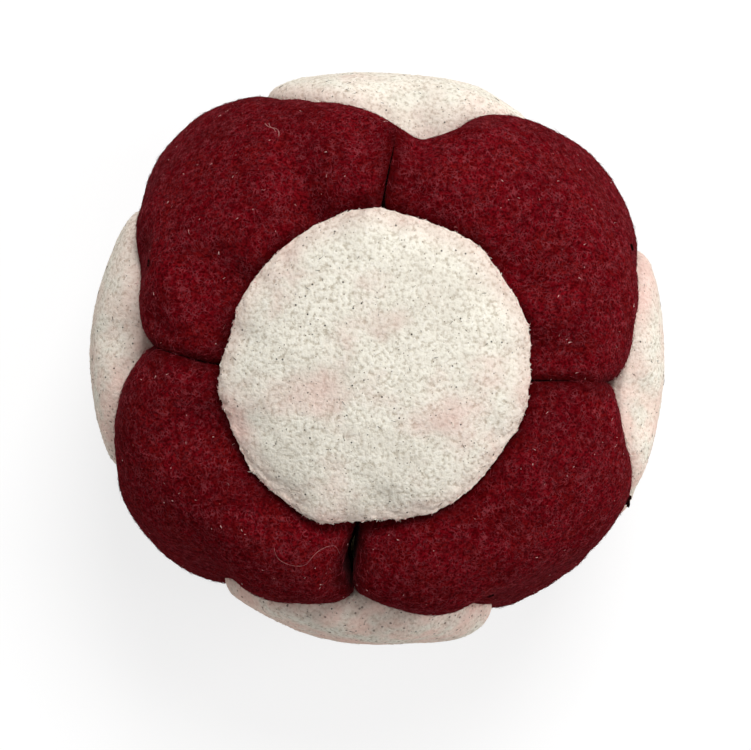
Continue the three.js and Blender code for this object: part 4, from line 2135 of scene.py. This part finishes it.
@dataclass
class Footbag:
    """The whole bag: its panels, its threads, its sand and the fibres on it.

    Attributes:
        form: The outer form that the panels follow.
        pleats: The dents in them.
        strays: The bits that have caught on them.
    """

    form: BagForm
    pleats: tuple[Pleat, ...]
    strays: tuple[Stray, ...]

    def panels(self) -> list[Panel]:
        """List the fourteen panels.

        Returns:
            The six discs and then the eight lobes, each with its sides right-handed.
        """
        discs = [
            (Side.TOP, Side.RIGHT, Side.BACK),
            (Side.BOTTOM, Side.BACK, Side.RIGHT),
            (Side.FRONT, Side.RIGHT, Side.TOP),
            (Side.BACK, Side.TOP, Side.RIGHT),
            (Side.RIGHT, Side.BACK, Side.TOP),
            (Side.LEFT, Side.TOP, Side.BACK),
        ]
        # The rims of the side discs are turned in all the way, and only the top and bottom ones stand proud.
        turned_in = {"shoulder": 2.2 * MM, "fullness": 1.7, "rim_share": 1.0, "ragged": 0.1 * MM}
        panels: list[Panel] = [Disc(self.form, sides, pleats=self.pleats) for sides in discs[:2]]
        panels += [Disc(self.form, sides, pleats=self.pleats, **turned_in) for sides in discs[2:]]
        for level in (Side.TOP, Side.BOTTOM):
            for end in (Side.FRONT, Side.BACK):
                for hand in (Side.RIGHT, Side.LEFT):
                    sides = (level, end, hand)
                    if np.cross(level.axis, end.axis) @ hand.axis < 0:
                        sides = (level, hand, end)
                    panels.append(Lobe(self.form, sides, pleats=self.pleats))
        return panels

    def build(self) -> None:
        """Make, soften and dress every piece."""
        finishes = {
            "cream_suede": CreamSuede().build(),
            "maroon_suede": MaroonSuede().build(),
            "sewing_thread": SpunFibre("waxed sewing thread", 0.6, "#1b0908", "#0e0504").build(),
            "dry_sand": DrySand().build(),
        }
        panels = self.panels()
        pieces = [panel.build() for panel in panels]
        LOG.info("built %d panels", len(pieces))
        Softening().run(pieces)
        LOG.info("softened %d panels", len(pieces))
        for seed, (panel, piece) in enumerate(zip(panels, pieces)):
            Relief().press(piece, panel.ragged)
            self.finish_piece(piece, finishes[panel.slot], panel.name)
            self.add_fibres(panel, piece, seed)
        self.sew(pieces, finishes)
        sand = SandFill().build(self.form, panels)
        self.finish_piece(sand, finishes["dry_sand"], "sand_fill")

    def sew(self, pieces: list[Piece], finishes: dict[str, Material]) -> None:
        """Add the threads, the closing stitches and the knot, and what has caught on the bag.

        Args:
            pieces: The finished panels.
            finishes: The material of each slot.
        """
        sewing = Sewing(self.form)
        dyed = finishes["sewing_thread"]
        for side in Side:
            self.finish_piece(sewing.ring(side), dyed, f"disc_thread_{side.word}")
        for near, after in permutations(Side, 2):
            node = f"neck_thread_{near.word}_{after.word}"
            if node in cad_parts:
                self.finish_piece(sewing.neck(near, after), dyed, node)
        skin = Skin.of(pieces, np.array([0, 0, self.form.waist]))
        self.finish_piece(sewing.knot(skin), dyed, "closing_knot")
        self.finish_piece(sewing.closing_stitches(skin), dyed)
        hair = SpunFibre("pale stray hair", 0.8, "#b97f7a", "#95585a").build()
        for index, stray in enumerate(self.strays):
            finish, slot = (hair, "cream_suede") if stray.pale else (dyed, "sewing_thread")
            self.finish_piece(stray.lay(f"stray_{index}", skin), finish)

    def finish_piece(self, piece: Piece, finish: Material, node: str | None = None) -> None:
        """Give a piece its finish and its place in the frame.

        Args:
            piece: The piece.
            finish: Its material.
            node: The CAD node that it stands for, if any.
        """
        piece.data.materials.append(finish)
        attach(piece, "root")
        if node:
            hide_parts(node)
        LOG.info("finished %s, %d faces", piece.name, len(piece.data.polygons))

    def add_fibres(self, panel: Panel, piece: Piece, seed: int) -> None:
        """Scatter the nap and the loose fibres of a panel.

        Args:
            panel: The panel.
            piece: Its finished mesh.
            seed: Its seed of the random draws.
        """
        for strands in MAROON_FIBRES if isinstance(panel, Lobe) else CREAM_FIBRES:
            fibres = strands.scatter(f"{strands.kind}_{panel.name}", piece, seed)
            known = bpy.data.materials.get(strands.finish.name)
            self.finish_piece(fibres, known or strands.finish.build())


def measure_form(tugs: tuple[Tug, ...], slacks: tuple[Slack, ...]) -> BagForm:
    """Take the bag's size from the frame.

    Args:
        tugs: Where the bag departs from its even form.
        slacks: Where its seams are drawn deeper or less deep.

    Returns:
        The form that the panels follow.
    """
    half_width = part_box("disc_right")[1].x
    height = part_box("disc_top")[1].z
    low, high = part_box("neck_thread_front_right")
    return BagForm(half_width, height, (low.z + high.z) / 2, tugs=tugs, slacks=slacks)


TUGS = (
    # The bag leans, and its lower front and its left side are drawn in.
    Tug(245, 88, 38, (-0.35, -0.8)),
    Tug(236, 12, 21, (0.65, 1.0)),
    Tug(312, 12, 17, (-1.1, 1.2)),
    Tug(270, 36, 18, (0.0, 0.9)),
    Tug(166, 32, 10, (0.9, 0.0)),
    # The top disc is drawn in at two sides, and its lower corners bulge or sink.
    Tug(330, 60, 15, (-0.45, 0.25)),
    Tug(148, 60, 15, (0.5, -0.3)),
    Tug(341, 25, 11, (1.0, -0.3)),
    Tug(114, 12, 13, (-0.25, 0.55)),
    Tug(26, 12, 12, (0.6, 0.3)),
    Tug(70, 20, 12, (0.15, 0.5)),
    # The rim of the top disc isn't quite round.
    Tug(95, 61, 8, (0.0, 0.45)),
    Tug(169, 61, 5, (0.35, -0.05)),
    Tug(208, 61, 5, (0.37, 0.2)),
    Tug(254, 61, 4, (-0.19, -0.67)),
    Tug(282, 61, 7, (-0.09, 0.44)),
    Tug(350, 61, 5, (0.39, -0.07)),
    Tug(22, 61, 4.5, (0.3, 0.12)),
    Tug(56, 61, 5, (0.25, 0.37)),
    # The four necks round it run askew.
    Tug(90, 58, 7, (-0.5, 0.0)),
    Tug(180, 57, 7, (0.0, -0.65)),
    Tug(180, 32, 6, (0.0, 0.3)),
    Tug(0, 45, 12, (0.0, 0.45)),
    Tug(270, 45, 9, (-0.8, 0.0)),
    # The back neck ends in a notch.
    Tug(86, 31, 8, (0.0, -2.4)),
    Tug(85, 30, 6, (0.0, -2.3)),
    # The corners of the lobes below the front and at the back right are drawn in.
    Tug(40, 20, 14, (-0.62, -0.55)),
    Tug(309, 22, 10, (-0.8, 0.95)),
    Tug(296, 24, 7, (-0.45, 1.3)),
    Tug(237, 22, 8, (0.7, 1.0)),
    Tug(225, 18, 8, (0.35, 0.35)),
    # The outer ends of the other necks are drawn in.
    Tug(356, 30, 8, (-1.0, 0.0)),
    Tug(180, 30, 7, (1.15, 0.0)),
    Tug(275, 30, 6, (0.0, 0.95)),
    # The side discs bulge and sink unevenly.
    Tug(308, -6, 9, (-0.85, 1.0)),
    Tug(236, 30, 8, (0.35, 0.5)),
    Tug(65, 12, 8, (-0.2, -0.45)),
    Tug(140, 25, 10, (0.3, -0.3)),
    Tug(293, 3, 8, (0.35, -0.85)),
    Tug(331, 3, 8, (0.75, -0.5)),
    Tug(75, 5, 8, (0.12, 0.4)),
    # The lobes roll over into the back, right and left necks.
    Tug(85, 44, 5, (0.0, -1.1)),
    Tug(71, 40, 5, (0.1, 0.6)),
    Tug(0, 42, 6, (-0.9, 0.0)),
    Tug(11, 41, 5, (-0.6, 0.0)),
    Tug(176, 45, 7, (0.95, 0.0)),
    Tug(184, 40, 6, (0.65, 0.0)),
    Tug(161, 33, 4.5, (0.5, 0.0)),
    Tug(153, 28, 4, (-0.3, 0.1)),
    # The front disc widens, and the lobes above it are drawn in.
    Tug(240, 5, 8, (-0.7, 0.2)),
    Tug(300, 3, 8, (0.6, 0.2)),
    Tug(234, 36, 7, (0.55, 0.65)),
    Tug(303, 34, 7, (-0.35, 0.6)),
)

SLACKS = (
    Slack(269, 48, 7, 2.4, 0.5),
    Slack(269, 30, 7, -2.0),
    Slack(90, 38, 9, -3.6, -0.15),
    Slack(90, 51, 8, -2.8),
    Slack(90, 60, 6, -1.3),
    Slack(180, 46, 9, -2.5, -0.05),
    Slack(180, 60, 6, -1.0),
    Slack(0, 46, 10, -3.0, -0.1),
    Slack(0, 60, 6, -1.1),
    Slack(0, 30, 7, -1.2),
    Slack(300, 0, 7, -2.0),
    Slack(330, 0, 7, -1.5),
)

PLEATS = (
    Pleat("lobe_top_back_left", (118, 56), (115, 43), 1.35, 2.7),
    Pleat("lobe_top_back_left", (153, 55), (152, 48), 1.8, 2.1),
    Pleat("lobe_top_front_left", (211, 59), (205, 47), 1.4, 1.1),
    Pleat("lobe_top_back_right", (83, 32), (77, 46), 1.8, 1.4),
    Pleat("lobe_top_back_right", (39, 55), (46, 44), 2.2, 2.2),
    Pleat("lobe_top_back_right", (11, 56), (8, 47), 1.8, 1.6),
    Pleat("lobe_top_front_left", (202, 55), (199, 48), 1.7, 1.7),
)

STRAYS = (
    Stray(((119.8, 30.2), (119.5, 31.4), (118.6, 32.4), (118.0, 32.7), (117.6, 33.6), (118.1, 34.6)), 0.06),
    Stray(((119.0, 30.6), (119.1, 31.8), (118.4, 32.6), (118.4, 33.4)), 0.05),
    Stray(
        ((245.7, 43.6), (247.7, 42.1), (250.5, 41.8), (253.2, 42.2), (255.6, 42.8),
         (256.4, 44.4), (257.9, 45.7), (260.8, 46.1), (262.7, 45.4), (264.0, 43.1)),
        0.03,
    ),
    Stray(((333.8, 12.0), (333.0, 11.4), (332.2, 12.6)), 0.16, False),
    Stray(((331.8, 10.5), (331.0, 12.2), (330.3, 10.8)), 0.14, False),
    Stray(((329.9, 9.5), (329.2, 11.0), (328.5, 9.0)), 0.12, False),
    Stray(((28.9, 22.4), (30.1, 22.9)), 0.25, False),
    Stray(((160.2, 33.0), (161.6, 33.6)), 0.2, False),
    Stray(((300.6, 24.8), (301.8, 26.9)), 0.22, False),
)


# The camera looks at a point of the waist a little in front of the middle.
AIM_Y = -1.37 * MM


def main() -> None:
    """Build the studio and the bag."""
    logging.basicConfig(level=logging.INFO, format="%(name)s: %(message)s")
    bpy.context.scene.view_settings.view_transform = "Standard"
    form = measure_form(TUGS, SLACKS)
    studio = Studio(aim=(0, AIM_Y, form.waist))
    studio.place_camera()
    studio.place_lamps()
    studio.place_table(PaleTable())
    Footbag(form, PLEATS, STRAYS).build()


if __name__ == "__main__":
    main()
